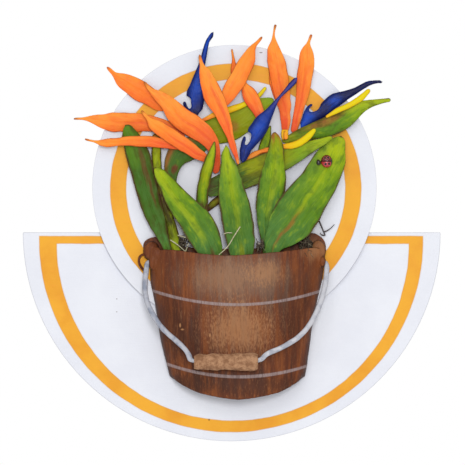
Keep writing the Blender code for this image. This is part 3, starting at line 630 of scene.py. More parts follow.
BLADES = {
    "sepal_left_top": sepal(red=None, stops=[(0.0, TANGERINE), (0.5, TANGERINE), (1.0, ORANGE)]),
    "sepal_left_broad": sepal(stops=[(0.0, CORAL), (0.25, CORAL), (0.5, TANGERINE), (0.7, ORANGE),
                                     (1.0, AMBER)],
                              spots=[(0.30, 0.85, 0.20, 0.22, CORAL, 0.6),
                                     (0.08, 0.5, 0.2, 0.9, SCARLET, 0.7)]),
    "sepal_left_long": sepal(spots=[(0.05, 0.4, 0.16, 0.5, SCARLET, 0.8)]),
    "sepal_left_low": sepal(red=None),
    "sepal_left_front": sepal(),
    "sepal_centre_front": sepal(red=(SCARLET, 0.62, 0.16, 0.25, 0.72, 0.6),
                                spots=[(0.0, 0.5, 0.07, 0.9, AMBER, 0.8)]),
    "sepal_centre_wide": sepal(red=None, stops=[(0.0, TANGERINE), (0.4, ORANGE), (1.0, ORANGE)]),
    "sepal_centre_spike": sepal(red=None),
    "sepal_centre_low": sepal(low=(SCARLET, 0.7), red=None),
    "sepal_right_tall": sepal(),
    "sepal_right_outer": sepal(),
    "sepal_right_back": sepal(red=None),
    "sepal_right_stub": sepal(red=None, stops=[(0.0, AMBER), (1.0, ORANGE)]),

    "tongue_left": tongue([(0.0, NAVY), (0.15, ULTRAMARINE), (0.35, COBALT), (0.6, ULTRAMARINE),
                           (0.9, COBALT), (1.0, NAVY)]),
    "tongue_centre": tongue([(0.0, NAVY), (0.1, ULTRAMARINE), (0.35, COBALT), (0.6, ULTRAMARINE),
                             (0.75, VIOLET), (1.0, VIOLET)]),
    "tongue_right": tongue([(0.0, COBALT), (0.15, COBALT), (0.3, NAVY), (0.45, COBALT), (0.6, NAVY),
                            (1.0, NAVY)]),

    "spathe_left": Coat([(0.0, FOREST), (0.5, FOREST), (1.0, FOREST)], UMBER, high=(RUST, 0.5),
                        low=(FOREST, 0.4), light=GRASS, dark=MURK,
                        spots=[(0.26, 0.35, 0.12, 0.25, MAROON, 0.9),
                               (0.06, 0.75, 0.14, 0.35, OLIVE, 0.8),
                               (0.45, 0.9, 0.3, 0.2, RUST, 0.6)]),
    "spathe_centre": Coat([(0.0, OLIVE), (0.5, OLIVE), (0.8, RIB), (1.0, GRASS)], MURK,
                          low=(OLIVE, 0.5), high=(LEAF, 0.3), light=RIB, dark=OLIVE,
                          spots=[(0.42, 0.4, 0.10, 0.25, RUST, 0.6)]),
    "spathe_lower": Coat([(0.0, UMBER), (0.12, FOREST), (0.25, FOREST), (0.36, OLIVE), (0.55, OLIVE),
                          (0.75, GRASS), (0.9, RIB), (1.0, LIME)], UMBER, low=(SAGE, 0.5),
                         light=GRASS, dark=MURK, rim=1.3,
                         spots=[(0.34, 0.35, 0.12, 0.25, MURK, 0.6)]),
    "spathe_right": Coat([(0.0, OLIVE), (0.25, LEAF), (0.5, LEAF), (0.7, GRASS), (0.85, RIB),
                          (1.0, LIME)], UMBER, high=(MAROON, 0.5), light=LIME, dark=MURK, mottle=0.5,
                         spots=[(0.40, 0.75, 0.25, 0.25, RUST, 0.6),
                                (0.76, 0.8, 0.2, 0.5, LIME, 0.8)]),

    "lip_centre": lip([(0.0, CORAL), (0.15, ORANGE), (0.35, GOLD), (0.6, LEMON), (1.0, LEMON)]),
    "lip_lower": lip([(0.0, ORANGE), (0.2, GOLD), (0.4, LEMON), (1.0, LEMON)]),
    "lip_right": lip([(0.0, GOLD), (0.2, LEMON), (1.0, LEMON)]),
    "lip_stub": lip([(0.0, ORANGE), (0.5, GOLD), (1.0, GOLD)]),

    # On the leaves, the darker low and high tints along the edges are painted shade.
    "leaf_far_left": leaf([(0.0, LEAF), (0.15, SAGE), (0.3, FOREST), (0.7, FOREST), (0.9, LEAF),
                           (1.0, LEAF)], high=(MURK, 0.5), light=SAGE, dark=MURK,
                          spots=[(0.70, 0.62, 0.20, 0.16, MAROON, 0.65),
                                 (0.52, 0.72, 0.16, 0.10, MAROON, 0.6),
                                 (0.80, 0.3, 0.15, 0.3, LEAF, 0.6)]),
    "leaf_left": leaf(LEAF_STOPS, high=(LEAF, 0.5), low=(SAGE, 0.35),
                      rib=(RIB, 0.42, 0.16, 0.25, 0.95, 0.7),
                      spots=[(0.08, 0.55, 0.10, 0.12, MAROON, 0.7)]),
    "leaf_slim": leaf([(0.0, MAROON), (0.10, UMBER), (0.22, LEAF), (0.5, OLIVE), (0.8, RIB),
                       (1.0, RIB)], light=RIB, dark=LEAF, low=(LEAF, 0.4),
                      rib=(LIME, 0.55, 0.25, 0.2, 1.0, 0.5)),
    "leaf_middle": leaf(LEAF_STOPS, low=(SAGE, 0.6), high=(SAGE, 0.6),
                        rib=(RIB, 0.5, 0.13, 0.3, 0.95, 0.5), light=RIB,
                        spots=[(0.10, 0.5, 0.14, 0.14, OLIVE, 0.6),
                               (0.32, 0.5, 0.22, 0.5, FOREST, 0.35)]),
    "leaf_centre": leaf([(0.0, FOREST), (0.2, SAGE), (0.5, LEAF), (0.75, GRASS), (0.92, OLIVE),
                         (1.0, RUST)], low=(SAGE, 0.4), rib=(RIB, 0.55, 0.16, 0.35, 0.95, 0.6),
                        spots=[(0.45, 0.85, 0.12, 0.3, SAGE, 0.8)]),
    "leaf_right": leaf(LEAF_STOPS, low=(LEAF, 0.3), high=(SAGE, 0.5),
                       rib=(RUST, 0.48, 0.07, 0.10, 0.42, 0.6),
                       spots=[(0.12, 0.30, 0.14, 0.25, SAGE, 0.7),
                              (0.26, 0.2, 0.16, 0.2, SAGE, 0.6),
                              (0.60, 0.5, 0.28, 0.08, LIME, 0.5)]),
    "leaf_behind": leaf([(0.0, RIB), (0.5, GRASS), (1.0, RIB)]),
    "stalk_stub": leaf([(0.0, MAROON), (0.2, UMBER), (0.4, OLIVE), (0.7, RUST), (1.0, OLIVE)],
                       high=(LEAF, 0.5), light=RUST, dark=UMBER),
    "stem_left": leaf([(0.0, LIME), (0.15, RIB), (0.3, MURK), (0.55, UMBER), (0.72, RIB),
                       (0.9, OLIVE), (1.0, RUST)], dark=MURK),
}


def add_blades():
    for seed, (node, coat) in enumerate(BLADES.items(), start=1):
        kind = node.split("_")[0]
        form, slot = KINDS[kind]
        if node == "leaf_behind":  # worked more smoothly than the broad leaves
            form = SPATHE_FORM
        # The tongues are cut from a flat slab: their outline is kept as it is.
        levels, smoothing = (0, 5) if kind == "tongue" else (2, 3)
        piece = work_blade(node, form, levels, smoothing, seed)
        piece.data.materials.append(blade_material(node + "_paint", coat))
        settle(piece, node)


# ---- boards

ROUND_MIDDLE = (2.9, 106.1)  # middle of the painted ring, in mm
RING = (78.6, 90.1)
OUTER_ARC = (-0.4, 69.4, 137.9)  # middle and radius of the half-round's band
INNER_ARC = (0.8, 66.1, 126.4)
BAND_TOP = 72.4
BAND_INNER_TOP = 66.8


# Specks of dark paint: x, z and half sizes in mm
SPECKS = ((-16.2, -59.6, 0.8, 0.9), (21.0, 204.0, 1.5, 0.5), (-82.5, 27.2, 0.5, 0.5),
          (-82.5, 17.9, 0.5, 0.5))


def board_material(name, band):
    """White emulsion with an orange band; band(p, x, z) gives how far a point lies inside it, in
    mm.  The back is left as raw board."""
    p = Paint(name, 0.5)
    place = p.place()
    x, z = p.plan()
    unsteady = p.sway(p.noise(place, 90.0, 3.0), 0.9)
    inside = p.plus(band(p, x, z), unsteady)

    mottle = p.noise(place, 28.0, 4.0, 0.6)
    brush = p.streaks(place, (60.0, 400.0, 900.0), 3.0, 0.6)
    pores = p.noise(place, 1900.0, 2.0)
    white = p.mix(p.step(mottle, 0.35, 0.7), BOARD_SHADE, BOARD_WHITE)
    orange = p.mix(p.step(mottle, 0.3, 0.62), BAND_DEEP, BAND_ORANGE)
    orange = p.mix(p.step(brush, 0.52, 0.8, 0.0, 0.25), orange, AMBER)
    colour = p.mix(p.step(inside, -0.22, 0.22), white, orange)
    line = p.times(p.step(p.maths("ABSOLUTE", inside), 0.7, 0.0), 0.25)
    colour = p.mix(line, colour, PAIL_TAN)

    for speck_x, speck_z, wide, tall in SPECKS:
        away = p.off(x, z, speck_x, speck_z, wide, tall)
        colour = p.tint(colour, UMBER, away, 1.0, 0.5, 0.75)

    fibre = p.streaks(place, (900.0, 900.0, 120.0), 4.0, 0.7)
    raw = p.mix(p.step(fibre, 0.35, 0.7), RAW_FIBRE, RAW_BOARD)
    back = p.split(p.node("NewGeometry", out=1), 1)
    # The eased edges and the sides, facing away from the front, are greyed as painted shade; the back is
    # raw board.
    colour = p.tint(colour, BOARD_EDGE_SHADE, back, -0.85, -0.35)
    stain = p.plus(back, p.sway(mottle, 0.5))
    colour = p.tint(colour, raw, stain, 0.35, 0.75)
    height = p.plus(p.times(brush, 0.5), p.plus(p.times(pores, 0.3), p.times(mottle, 0.6)))
    return p.finish(colour, height, 0.18, p.step(mottle, 0.3, 0.7, 0.46, 0.58))


def ring_band(p, x, z):
    radius = p.off(x, z, *ROUND_MIDDLE)
    half = (RING[1] - RING[0]) / 2
    return p.maths("SUBTRACT", half, p.maths("ABSOLUTE", p.plus(radius, -(RING[0] + half))))


def arc_band(p, x, z):
    def inside(middle_x, middle_z, radius, top):
        away = p.off(x, z, middle_x, middle_z)
        return p.maths("MINIMUM", p.maths("SUBTRACT", radius, away), p.maths("SUBTRACT", top, z))
    outer = inside(*OUTER_ARC, BAND_TOP)
    inner = inside(*INNER_ARC, BAND_INNER_TOP)
    return p.maths("MINIMUM", outer, p.times(inner, -1.0))


def add_board(node, band):
    """A sawn board with eased edges."""
    bm = welded_copy(node)
    bmesh.ops.dissolve_limit(bm, angle_limit=math.radians(0.5), verts=bm.verts, edges=bm.edges)
    mesh = bpy.data.meshes.new(node + "_painted")
    bm.to_mesh(mesh)
    bm.free()
    piece = link_piece(node + "_painted", mesh)
    ease = piece.modifiers.new("eased_edges", "BEVEL")
    ease.width = 0.7 * MM
    ease.segments = 3
    ease.limit_method = "ANGLE"
    ease.angle_limit = math.radians(40)
    fixed(piece)
    piece.data.set_sharp_from_angle(angle=math.radians(35))
    piece.data.materials.append(board_material(node + "_paint", band))
    settle(piece, node)


# ---- pail

HOOPS = ((23.4, 9.3, 3.8, 59.0), (-28.1, 8.0, 6.0, 50.0))  # height, rise, middle, half width
HOOP_HALF = 1.05


def hoop_height(x, hoop):
    low, rise, middle, half = hoop
    return low + rise * ((x - middle) / half) ** 2


# Chips in the paint: x, z and half sizes in mm
CHIPS = ((-36.8, 8.6, 0.7, 1.5), (-35.2, 5.6, 1.2, 0.6), (-15.6, 1.6, 0.6, 1.4))


def pail_material(name, hooped=True):
    p = Paint(name, 0.52)
    place = p.place()
    x, z = p.plan()
    streak = p.streaks(place, (170.0, 170.0, 16.0), 4.0, 0.6, 0.4)
    grain = p.streaks(place, (480.0, 480.0, 46.0), 5.0, 0.7)
    hairs = p.streaks(place, (1000.0, 1000.0, 90.0), 5.0, 0.75)
    patch = p.noise(place, 26.0, 2.0)
    flecks = p.streaks(place, (1300.0, 1300.0, 420.0), 2.0, 0.6)

    tone = p.plus(p.times(streak, 0.65), p.times(grain, 0.35))
    colour = p.ramp(tone, [(0.30, PAIL_DARK), (0.48, PAIL_BROWN), (0.64, PAIL_RUST), (0.86, PAIL_TAN)])

    def paint_and_light_patch(middle_x, middle_z, wide, tall, tint, amount, ragged):
        """A soft patch of colour, used for dry-brushed paint, chips, painted highlights and painted
        shade.
        """
        nonlocal colour
        away = p.off(x, z, middle_x, middle_z, wide, tall)
        away = p.plus(away, p.sway(ragged, 3.2))
        colour = p.tint(colour, tint, away, 1.1, 0.2, amount)

    ragged = p.plus(p.times(streak, 0.6), p.times(hairs, 0.4))
    specks = p.plus(p.times(flecks, 0.6), p.times(streak, 0.4))
    # The grey and tan patches under the rim, in the middle and at the top right are painted highlights,
    # and the dark patches at the sides and low down are painted shade; the rust patches at the sides and
    # the chips are paint.
    paint_and_light_patch(4, 42, 46, 24, PAIL_GREY, 0.8, ragged)
    paint_and_light_patch(-4, 43, 34, 16, PAIL_TAN, 0.28, specks)
    paint_and_light_patch(24, 46, 18, 10, PAIL_TAN, 0.45, specks)
    paint_and_light_patch(6, 6, 30, 24, PAIL_TAN, 0.60, specks)
    paint_and_light_patch(-40, 2, 22, 36, PAIL_DARK, 0.6, ragged)
    paint_and_light_patch(-30, -32, 30, 14, PAIL_DARK, 0.6, ragged)
    paint_and_light_patch(12, -34, 60, 12, PAIL_DARK, 0.6, ragged)
    paint_and_light_patch(44, 24, 20, 34, PAIL_DARK, 0.35, ragged)
    paint_and_light_patch(63, 40, 8, 30, PAIL_RUST, 0.6, ragged)
    paint_and_light_patch(-56, 40, 8, 24, PAIL_RUST, 0.6, ragged)
    paint_and_light_patch(60, 62, 12, 9, PAIL_TAN, 0.5, ragged)
    for chip in CHIPS:
        paint_and_light_patch(*chip, PAIL_TAN, 0.9, patch)
    colour = p.tint(colour, PAIL_TAN, hairs, 0.54, 0.74, 0.35)
    colour = p.tint(colour, PAIL_DARK, hairs, 0.47, 0.30, 0.55)
    colour = p.tint(colour, PAIL_TAN, flecks, 0.62, 0.74, 0.22)
    # Faces that look away from the front darken as painted shade.
    facing = p.attribute("flow", 2)
    colour = p.tint(colour, PAIL_DARK, facing, 0.84, 0.64, 0.85)
    height = p.plus(p.times(grain, 0.6), p.plus(p.times(hairs, 0.3), p.times(patch, 0.3)))
    if hooped:
        bands = 0.0
        for low, rise, middle, half in HOOPS:
            aside = p.times(p.plus(x, -middle), 1 / half)
            level = p.plus(p.times(p.times(aside, aside), rise), low)
            away = p.maths("ABSOLUTE", p.plus(z, p.times(level, -1.0)))
            away = p.plus(away, p.sway(patch, 0.8))
            bands = p.maths("MAXIMUM", bands, p.step(away, HOOP_HALF + 0.35, HOOP_HALF - 0.35))
        worn = p.step(hairs, 0.30, 0.62, 0.35, 0.95)
        colour = p.mix(p.times(bands, worn), colour, HOOP)
    return p.finish(colour, height, 0.35, p.step(grain, 0.3, 0.7, 0.5, 0.62))


def keep_facing(mesh):
    _, normals = read(mesh)
    facing = np.clip(-normals[:, 1], -1, 1) * 0.5 + 0.5
    half = np.full(len(facing), 0.5)
    keep(mesh, "flow", np.stack([half, half, facing], 1))


def add_clay_body(node, material, voxel, lump, size=9.0, body="plaque", seed=0, levels=2,
                  smoothing=4, shape=None, pads=()):
    """A worked copy of a CAD node that isn't a blade.  shape(places) adds its own relief."""
    piece = fine_copy(node, voxel, levels, smoothing, pads=pads)
    mesh = piece.data
    places, normals = read(mesh)
    height = lump * (lumps(places, size, seed) + 0.5 * lumps(places, size / 2.3, seed + 5))
    if shape:
        height += shape(places) * np.clip(-normals[:, 1], 0, 1)
    write(mesh, places + normals * height[:, None])
    keep_facing(mesh)
    mesh.materials.append(material)
    settle(piece, node, body)
    return piece


def hoop_relief(places):
    """The two painted hoops stand a little proud, and the wood grain runs down the wall."""
    x, z = places[:, 0], places[:, 2]
    raised = np.zeros(len(places))
    for hoop in HOOPS:
        away = np.abs(z - hoop_height(x, hoop))
        raised = np.maximum(raised, np.clip((HOOP_HALF + 0.4 - away) / 0.8, 0, 1))
    grooves = 0.10 * lumps(places * np.array([1.0, 1.0, 0.08]), 2.6, 71)
    broad = 0.16 * lumps(places * np.array([1.0, 1.0, 0.1]), 8.0, 72)
    return 0.35 * raised + grooves + broad


# Clay over the bail's pins, and the corners that join the front rim to the far rim
PAIL_PADS = [((-56.6, 54.0, 16.6), (3.2, 6.0, 4.6)), ((65.0, 54.0, 17.0), (2.7, 4.0, 4.4)),
             ((-57.6, 61.6, 13.5), (6.2, 7.5, 5.6)), ((62.2, 62.4, 13.0), (5.8, 7.4, 5.0)),
             ((-53.6, 59.8, 17.5), (4.6, 5.0, 4.2))]


def add_pail():
    add_clay_body("pail_wall", pail_material("pail_wall_paint"), 0.7, 0.16, seed=301,
                  smoothing=3, shape=hoop_relief, pads=PAIL_PADS)
    plain = pail_material("pail_back_paint", hooped=False)
    add_clay_body("pail_back", plain, 0.5, 0.15, seed=302, smoothing=4)
    add_clay_body("ear_left", plain, 0.3, 0.10, 5.0, seed=303)


# ---- bail and grip

def bail_material():
    p = Paint("bail_paint", 0.42)
    place = p.place()
    patch = p.noise(place, 190.0, 3.0, 0.55)
    fine = p.noise(place, 1500.0, 3.0, 0.6)
    colour = p.mix(p.step(patch, 0.34, 0.6), BAIL_GREY, BAIL_PALE)
    colour = p.mix(p.step(p.split(place, 0), 0.03, -0.05, 0.0, 0.35), colour, BAIL_GREY)
    colour = p.mix(p.step(p.split(place, 0), 0.01, 0.06, 0.0, 0.5), colour, BAIL_PALE)
    colour = p.tint(colour, CHALK, fine, 0.6, 0.8, 0.4)
    facing = p.attribute("flow", 2)
    # The sides, which face away from the front, darken as painted shade.
    colour = p.tint(colour, BAIL_SIDE_SHADE, facing, 0.76, 0.56, 0.85)
    return p.finish(colour, p.plus(p.times(patch, 0.6), p.times(fine, 0.4)), 0.16)


def grip_material():
    p = Paint("grip_paint", 0.85, 0.2)
    place = p.place()
    crumbs = p.cells(place, 900.0)
    patch = p.noise(place, 260.0, 4.0, 0.65)
    fine = p.noise(place, 1800.0, 4.0, 0.7)
    colour = p.mix(p.step(patch, 0.35, 0.65), CORK_DARK, CORK)
    colour = p.tint(colour, PAIL_TAN, fine, 0.55, 0.8, 0.5)
    colour = p.tint(colour, CORK_DARK, crumbs, 0.5, 0.15, 0.35)
    facing = p.attribute("flow", 2)
    # The sides, which face away from the front, darken to brown as painted shade.
    colour = p.tint(colour, PAIL_BROWN, facing, 0.7, 0.45, 0.6)
    return p.finish(colour, p.plus(p.times(crumbs, 0.6), p.times(fine, 0.5)), 0.5)


def add_bail():
    add_clay_body("bail", bail_material(), 0.4, 0.18, 11.0, "bail", 401, smoothing=6)
    add_clay_body("grip", grip_material(), 0.35, 0.32, 6.0, "bail", 402)


# ---- foam, moss and twig

def foam_material():
    p = Paint("foam_surface", 0.95, 0.1)
    place = p.place()
    pores = p.cells(place, 1100.0)
    patch = p.noise(place, 90.0, 3.0)
    dark = rgb(50, 74, 42)
    pale = rgb(96, 122, 78)
    colour = p.mix(p.step(patch, 0.3, 0.7), dark, pale)
    colour = p.tint(colour, MURK, pores, 0.35, 0.1, 0.6)
    return p.finish(colour, pores, 0.6)


def strand_material(name, tones):
    p = Paint(name, 0.8, 0.25)
    place = p.place()
    each = p.noise(place, 420.0, 2.0, 0.7)
    bands = p.noise(place, 1500.0, 2.0)
    colour = p.ramp(each, tones)
    colour = p.tint(colour, rgb(150, 140, 112), bands, 0.55, 0.8, 0.3)
    return p.finish(colour, bands, 0.15)


MOSS_TONES = [(0.30, rgb(44, 36, 32)), (0.46, rgb(74, 62, 52)), (0.60, rgb(104, 94, 74)),
              (0.74, rgb(178, 170, 146))]
PALE_TONES = [(0.3, rgb(150, 146, 104)), (0.5, rgb(190, 184, 150)), (0.7, rgb(212, 206, 180))]
TWIG_TONES = [(0.3, rgb(54, 48, 50)), (0.5, rgb(84, 76, 76)), (0.7, rgb(120, 108, 104))]


def new_strands(name, thickness, material):
    """An empty curve object for fibres of that thickness in mm."""
    curve = bpy.data.curves.new(name, "CURVE")
    curve.dimensions = "3D"
    curve.bevel_depth = thickness / 2 * MM
    curve.bevel_resolution = 1
    curve.resolution_u = 4
    curve.use_fill_caps = True
    curve.materials.append(material)
    return link_piece(name, curve)


def add_strand(piece, points, taper=0.5):
    """One fibre through points, which are x, z and distance from the wall in mm."""
    spline = piece.data.splines.new("NURBS")
    spline.points.add(len(points) - 1)
    for k, (point, (x, z, out)) in enumerate(zip(spline.points, points)):
        point.co = (x * MM, -out * MM, z * MM, 1)
        point.radius = 1 - taper * k / (len(points) - 1)
    spline.order_u = min(4, len(points))
    spline.use_endpoint_u = True


CURL = 0.54  # how strongly a fibre curls, and how much each of its bends differs
KINK = 0.35


def tangled(piece, box, count, length, rng):
    """Loose curling fibres in the ellipsoid that fills a box (lowest and highest corner, in mm)."""
    low, high = box
    middle = (low + high) / 2
    reach = (high - low) / 2
    for _ in range(count):
        way = rng.normal(size=3)
        point = middle + reach * way / np.linalg.norm(way) * rng.uniform(0.5, 1.0)
        heading = rng.normal(size=3)
        heading /= np.linalg.norm(heading)
        curl = rng.normal(size=3) * CURL
        route = []
        steps = rng.integers(5, 8)
        for _ in range(steps):
            route.append(tuple(point))
            point = point + heading * length / steps
            away = np.linalg.norm((point - middle) / reach)
            if away > 1:
                point = middle + (point - middle) / away
            heading = heading + np.cross(curl, heading) + rng.normal(size=3) * KINK
            heading /= np.linalg.norm(heading)
        add_strand(piece, route)


def moss_box(node):
    low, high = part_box(node)
    return (np.array([low.x, low.z, -high.y]) / MM, np.array([high.x, high.z, -low.y]) / MM)


TUFTS = (("moss_left", 46, 12.0), ("moss_centre", 34, 10.0), ("moss_right", 60, 13.0))  # fibres, length


# Single fibres that hang over the rim, and pale straws with their taper
LOOSE = (
    [(49.5, 66, 19.8), (51, 62.5, 24.8), (52.5, 60, 27.3), (54.0, 57.6, 28.3)],
    [(54.5, 66, 18.8), (55.5, 62, 23.3), (57, 59, 25.3), (58.5, 56.6, 26.3)],
    [(47.5, 68, 18.8), (50, 64.5, 24.8), (53.5, 62.5, 25.8), (57.5, 61.5, 24.3)],
    [(17.5, 70.5, 31.0), (19.2, 66, 33.0), (19.6, 62.5, 34.0), (17.8, 60.5, 34.0)],
    [(22.5, 71, 30.0), (21.2, 67, 32.5), (22.2, 63.5, 33.5), (24.5, 61, 33.0)],
    [(44.5, 69, 20.8), (47.5, 72.5, 21.8), (52, 73.5, 21.8), (56.5, 71.0, 19.8)],
    [(46.5, 71, 21.3), (48.5, 67.5, 23.3), (52.5, 66.5, 25.3), (56.5, 68.5, 20.8)],
    [(50.5, 74, 19.8), (52.5, 70, 22.3), (52, 65.5, 26.3), (49.5, 62.5, 28.3)],
    [(55.5, 73, 18.3), (54.0, 69, 21.3), (55.5, 64.5, 24.8), (54.5, 60.5, 27.3)],
)
STRAWS = (
    (0.2, [(6, 78.9, 28.0), (3.5, 75, 30.0), (0.5, 70.5, 31.5), (-1.2, 66.8, 33.0),
           (-4.5, 62.8, 34.5), (-9.1, 59.1, 35.5)]),
    (0.2, [(-5.5, 73.9, 25.5), (-3, 75.2, 27), (-1, 74.6, 28.5), (0.2, 74.6, 29.5)]),
    (0.2, [(-43.8, 69.5, 20), (-40, 67.2, 21.5), (-36.5, 64.6, 22), (-33.5, 61.5, 21.5)]),
    (0.1, [(-38.5, 72.9, 19.5), (-35.5, 72.2, 20.5), (-32, 70.8, 21)]),
    (0.0, [(-30.8, 67.0, 20), (-32.2, 63.6, 21), (-33, 61, 21.5), (-33.6, 60.4, 21)]),
)


def add_moss():
    rng = np.random.default_rng(7)
    moss = strand_material("moss_fibre", MOSS_TONES)
    pale = strand_material("pale_fibre", PALE_TONES)
    for node, count, length in TUFTS:
        tuft = new_strands(node + "_fibres", 0.55, moss)
        tangled(tuft, moss_box(node), count, length, rng)
        settle(tuft, node)

    loose = new_strands("loose_fibres", 0.6, moss)
    for points in LOOSE:
        add_strand(loose, points)
    settle(loose, None)

    straws = new_strands("pale_straws", 0.9, pale)
    for taper, points in STRAWS:
        add_strand(straws, points, taper)
    settle(straws, None)


def add_twig():
    bark = strand_material("twig_bark", TWIG_TONES)
    low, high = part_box("twig")
    out = -(low.y + high.y) / 2 / MM
    twig = new_strands("forked_twig", 1.3, bark)
    branches = (([(62.7, 83.2, 0), (64.2, 80.0, 0.3), (65.2, 77.2, 0), (67, 73.1, 0)], 0.25),
                ([(66.2, 75.4, 0), (68.6, 75.8, 0.4), (70.9, 77.6, 0.6), (73.7, 80.7, 0)], 0.6),
                ([(67, 73.1, 0), (65.4, 72.6, 0.8), (63.9, 73.2, 0.8), (63.6, 74.6, 0)], 0.5))
    for points, taper in branches:
        add_strand(twig, [(x, z, out + rise) for x, z, rise in points], taper)
    settle(twig, "twig")


def add_foam():
    piece = add_clay_body("foam_block", foam_material(), 1.0, 0.25, 6.0, seed=501, smoothing=2)
    piece.name = "foam_filling"


# ---- ladybug

BEETLE_SPOTS = ((0.20, -0.48, 0.21), (-0.40, -0.42, 0.21), (0.30, 0.50, 0.16), (-0.25, 0.55, 0.18))


def shell_material():
    """Gloss paint on the two wing cases: the lower one is bright, the upper one is dark."""
    p = Paint("beetle_shell", 0.25, 0.5)
    u = p.attribute("shell", 0)
    v = p.attribute("shell", 1)
    chips = p.noise(p.place(), 1500.0, 3.0, 0.6)
    unsteady = p.sway(chips, 0.3)
    above = p.plus(v, unsteady)
    colour = p.mix(p.step(above, -0.05, 0.1), BEETLE_RED, BEETLE_MAROON)
    colour = p.mix(p.times(p.step(chips, 0.55, 0.68), p.step(above, 0.0, 0.3)), colour, RUST)
    for at, aside, radius in BEETLE_SPOTS:
        away = p.off(u, v, at, aside)
        # A pink ring round each black spot is a painted highlight on the gloss.
        ring = p.step(away, radius * 1.7, radius * 1.2, 0.0, 0.35)
        colour = p.mix(ring, colour, rgb(226, 110, 116))
        colour = p.mix(p.step(p.plus(away, unsteady), radius * 1.15, radius * 0.8), colour, BEETLE_BLACK)
    colour = p.mix(p.step(p.maths("ABSOLUTE", above), 0.13, 0.06), colour, BEETLE_BLACK)
    colour = p.mix(p.step(p.plus(u, unsteady), -0.72, -0.86), colour, BEETLE_BLACK)
    return gloss(p, colour, chips)


def face_material():
    p = Paint("beetle_face", 0.25, 0.5)
    chips = p.noise(p.place(), 1500.0, 3.0, 0.6)
    colour = p.mix(p.step(chips, 0.5, 0.7, 0.0, 0.5), BEETLE_BLACK, BEETLE_MAROON)
    return gloss(p, colour, chips)


def gloss(p, colour, height):
    p.shader.inputs["Coat Weight"].default_value = 0.4
    p.shader.inputs["Coat Roughness"].default_value = 0.2
    return p.finish(colour, height, 0.05)


def add_beetle_part(node, material, groove, pads=()):
    piece = fine_copy(node, 0.16, 2, 3, "gloss", pads)
    mesh = piece.data
    places, normals = read(mesh)
    low, high = places.min(axis=0), places.max(axis=0)
    middle = (low + high) / 2
    # The shell's own axes: u runs towards the head, on the left, and v runs up.
    u = -(places[:, 0] - middle[0]) / ((high[0] - low[0]) / 2)
    v = (places[:, 2] - middle[2]) / ((high[2] - low[2]) / 2)
    sunk = -groove * bump_at(v, 0, 0.07) * np.clip(-normals[:, 1], 0, 1)
    write(mesh, places + normals * sunk[:, None])
    keep(mesh, "shell", np.stack([u, v, np.zeros(len(u))], 1))
    mesh.materials.append(material)
    settle(piece, node)


def add_beetle():
    add_beetle_part("ladybug_body", shell_material(), 0.6)
    low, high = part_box("ladybug_head")
    middle = (low + high) / 2 / MM
    pad = ((middle.x + 0.3, middle.z - 0.3, -middle.y + 0.2), (1.7, 2.0, 1.3))
    add_beetle_part("ladybug_head", face_material(), 0.0, [pad])


# ---- hanger

def steel_material():
    p = Paint("hanger_plating", 0.34)
    p.shader.inputs["Metallic"].default_value = 1.0
    place = p.place()
    brushed = p.streaks(place, (200.0, 2600.0, 2600.0), 3.0, 0.6)
    patch = p.noise(place, 160.0, 3.0)
    colour = p.mix(p.step(patch, 0.35, 0.7), rgb(176, 172, 160), rgb(206, 204, 196))
    colour = p.tint(colour, rgb(226, 224, 218), brushed, 0.5, 0.8, 0.4)
    return p.finish(colour, brushed, 0.04, p.step(patch, 0.3, 0.7, 0.28, 0.42))


def add_hanger():
    steel = steel_material()
    for node in ("sawtooth_hanger", "hanger_nail_left", "hanger_nail_right"):
        nodes[node].data.materials.clear()
        nodes[node].data.materials.append(steel)


# ---- studio

VIEW_WIDTH = 333.7  # width of the picture at the round board's face, in mm
VIEW_MIDDLE = (0.6, 74.9)
FACE_DEPTH = 9.3
LENS = 500.0
SENSOR = 36.0
FLOOR_LEVEL = -300.0
FLOOR_RADIUS = 0.8
AMBIENT = 0.56  # strength of the white surroundings as a light
LAMPS = (("key", (-0.35, -2.2, 1.0), 1.2, 9.0), ("front", (0.15, -2.8, 0.42), 0.6, 27.0),
         ("rear", (0.5, 1.6, 0.9), 1.0, 14.0))  # place and size in m, power in W


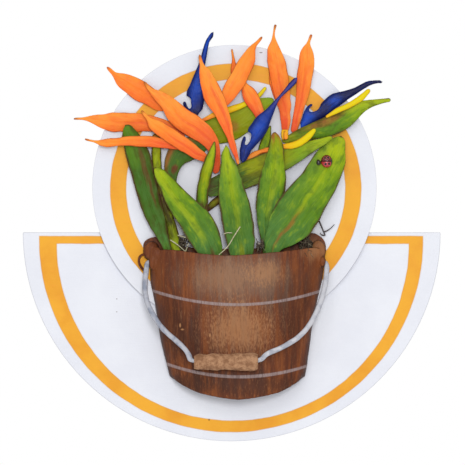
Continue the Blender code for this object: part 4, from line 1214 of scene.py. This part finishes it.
def add_camera():
    camera = bpy.data.objects.new("camera", bpy.data.cameras.new("camera"))
    camera.data.lens = LENS
    camera.data.sensor_width = SENSOR
    camera.data.clip_end = 20.0
    distance = VIEW_WIDTH / 2 / (SENSOR / 2 / LENS) + FACE_DEPTH
    camera.location = (VIEW_MIDDLE[0] * MM, -distance * MM, VIEW_MIDDLE[1] * MM)
    camera.rotation_euler = (math.pi / 2, 0, 0)
    scene.collection.objects.link(camera)
    scene.camera = camera


def add_light(name, place, size, power):
    data = bpy.data.lights.new(name, "AREA")
    data.shape = "DISK"
    data.size = size
    data.energy = power
    lamp = bpy.data.objects.new(name, data)
    lamp.location = place
    lamp.visible_camera = False
    aim = Vector((0, 0, 0.08)) - Vector(place)
    lamp.rotation_euler = aim.to_track_quat("-Z", "Y").to_euler()
    scene.collection.objects.link(lamp)


def add_studio():
    world = bpy.data.worlds.new("studio")
    world.use_nodes = True
    scene.world = world
    tree = world.node_tree
    ground = tree.nodes["Background"]
    ground.inputs["Color"].default_value = (1.0, 1.0, 1.0, 1.0)
    ground.inputs["Strength"].default_value = AMBIENT
    white = tree.nodes.new("ShaderNodeBackground")
    white.inputs["Color"].default_value = (1.0, 1.0, 1.0, 1.0)
    white.inputs["Strength"].default_value = 1.0
    rays = tree.nodes.new("ShaderNodeLightPath")
    both = tree.nodes.new("ShaderNodeMixShader")
    tree.links.new(rays.outputs["Is Camera Ray"], both.inputs[0])
    tree.links.new(ground.outputs[0], both.inputs[1])
    tree.links.new(white.outputs[0], both.inputs[2])
    tree.links.new(both.outputs[0], tree.nodes["World Output"].inputs["Surface"])

    for lamp in LAMPS:
        add_light(*lamp)
    scene.view_settings.view_transform = "Standard"

    bm = bmesh.new()
    bmesh.ops.create_circle(bm, cap_ends=True, segments=96, radius=FLOOR_RADIUS)
    mesh = bpy.data.meshes.new("floor")
    bm.to_mesh(mesh)
    bm.free()
    floor = link_piece("floor", mesh)
    floor.location = (0, 0, FLOOR_LEVEL * MM)
    p = Paint("floor_paint", 0.9, 0.1)
    mottle = p.noise(p.place(), 6.0, 2.0)
    colour = p.mix(p.step(mottle, 0.3, 0.7), rgb(240, 240, 242), rgb(246, 246, 247))
    mesh.materials.append(p.finish(colour, mottle, 0.1))


add_camera()
add_studio()
add_board("half_round_board", arc_band)
add_board("round_board", ring_band)
add_pail()
add_bail()
add_foam()
add_blades()
add_moss()
add_twig()
add_beetle()
add_hanger()
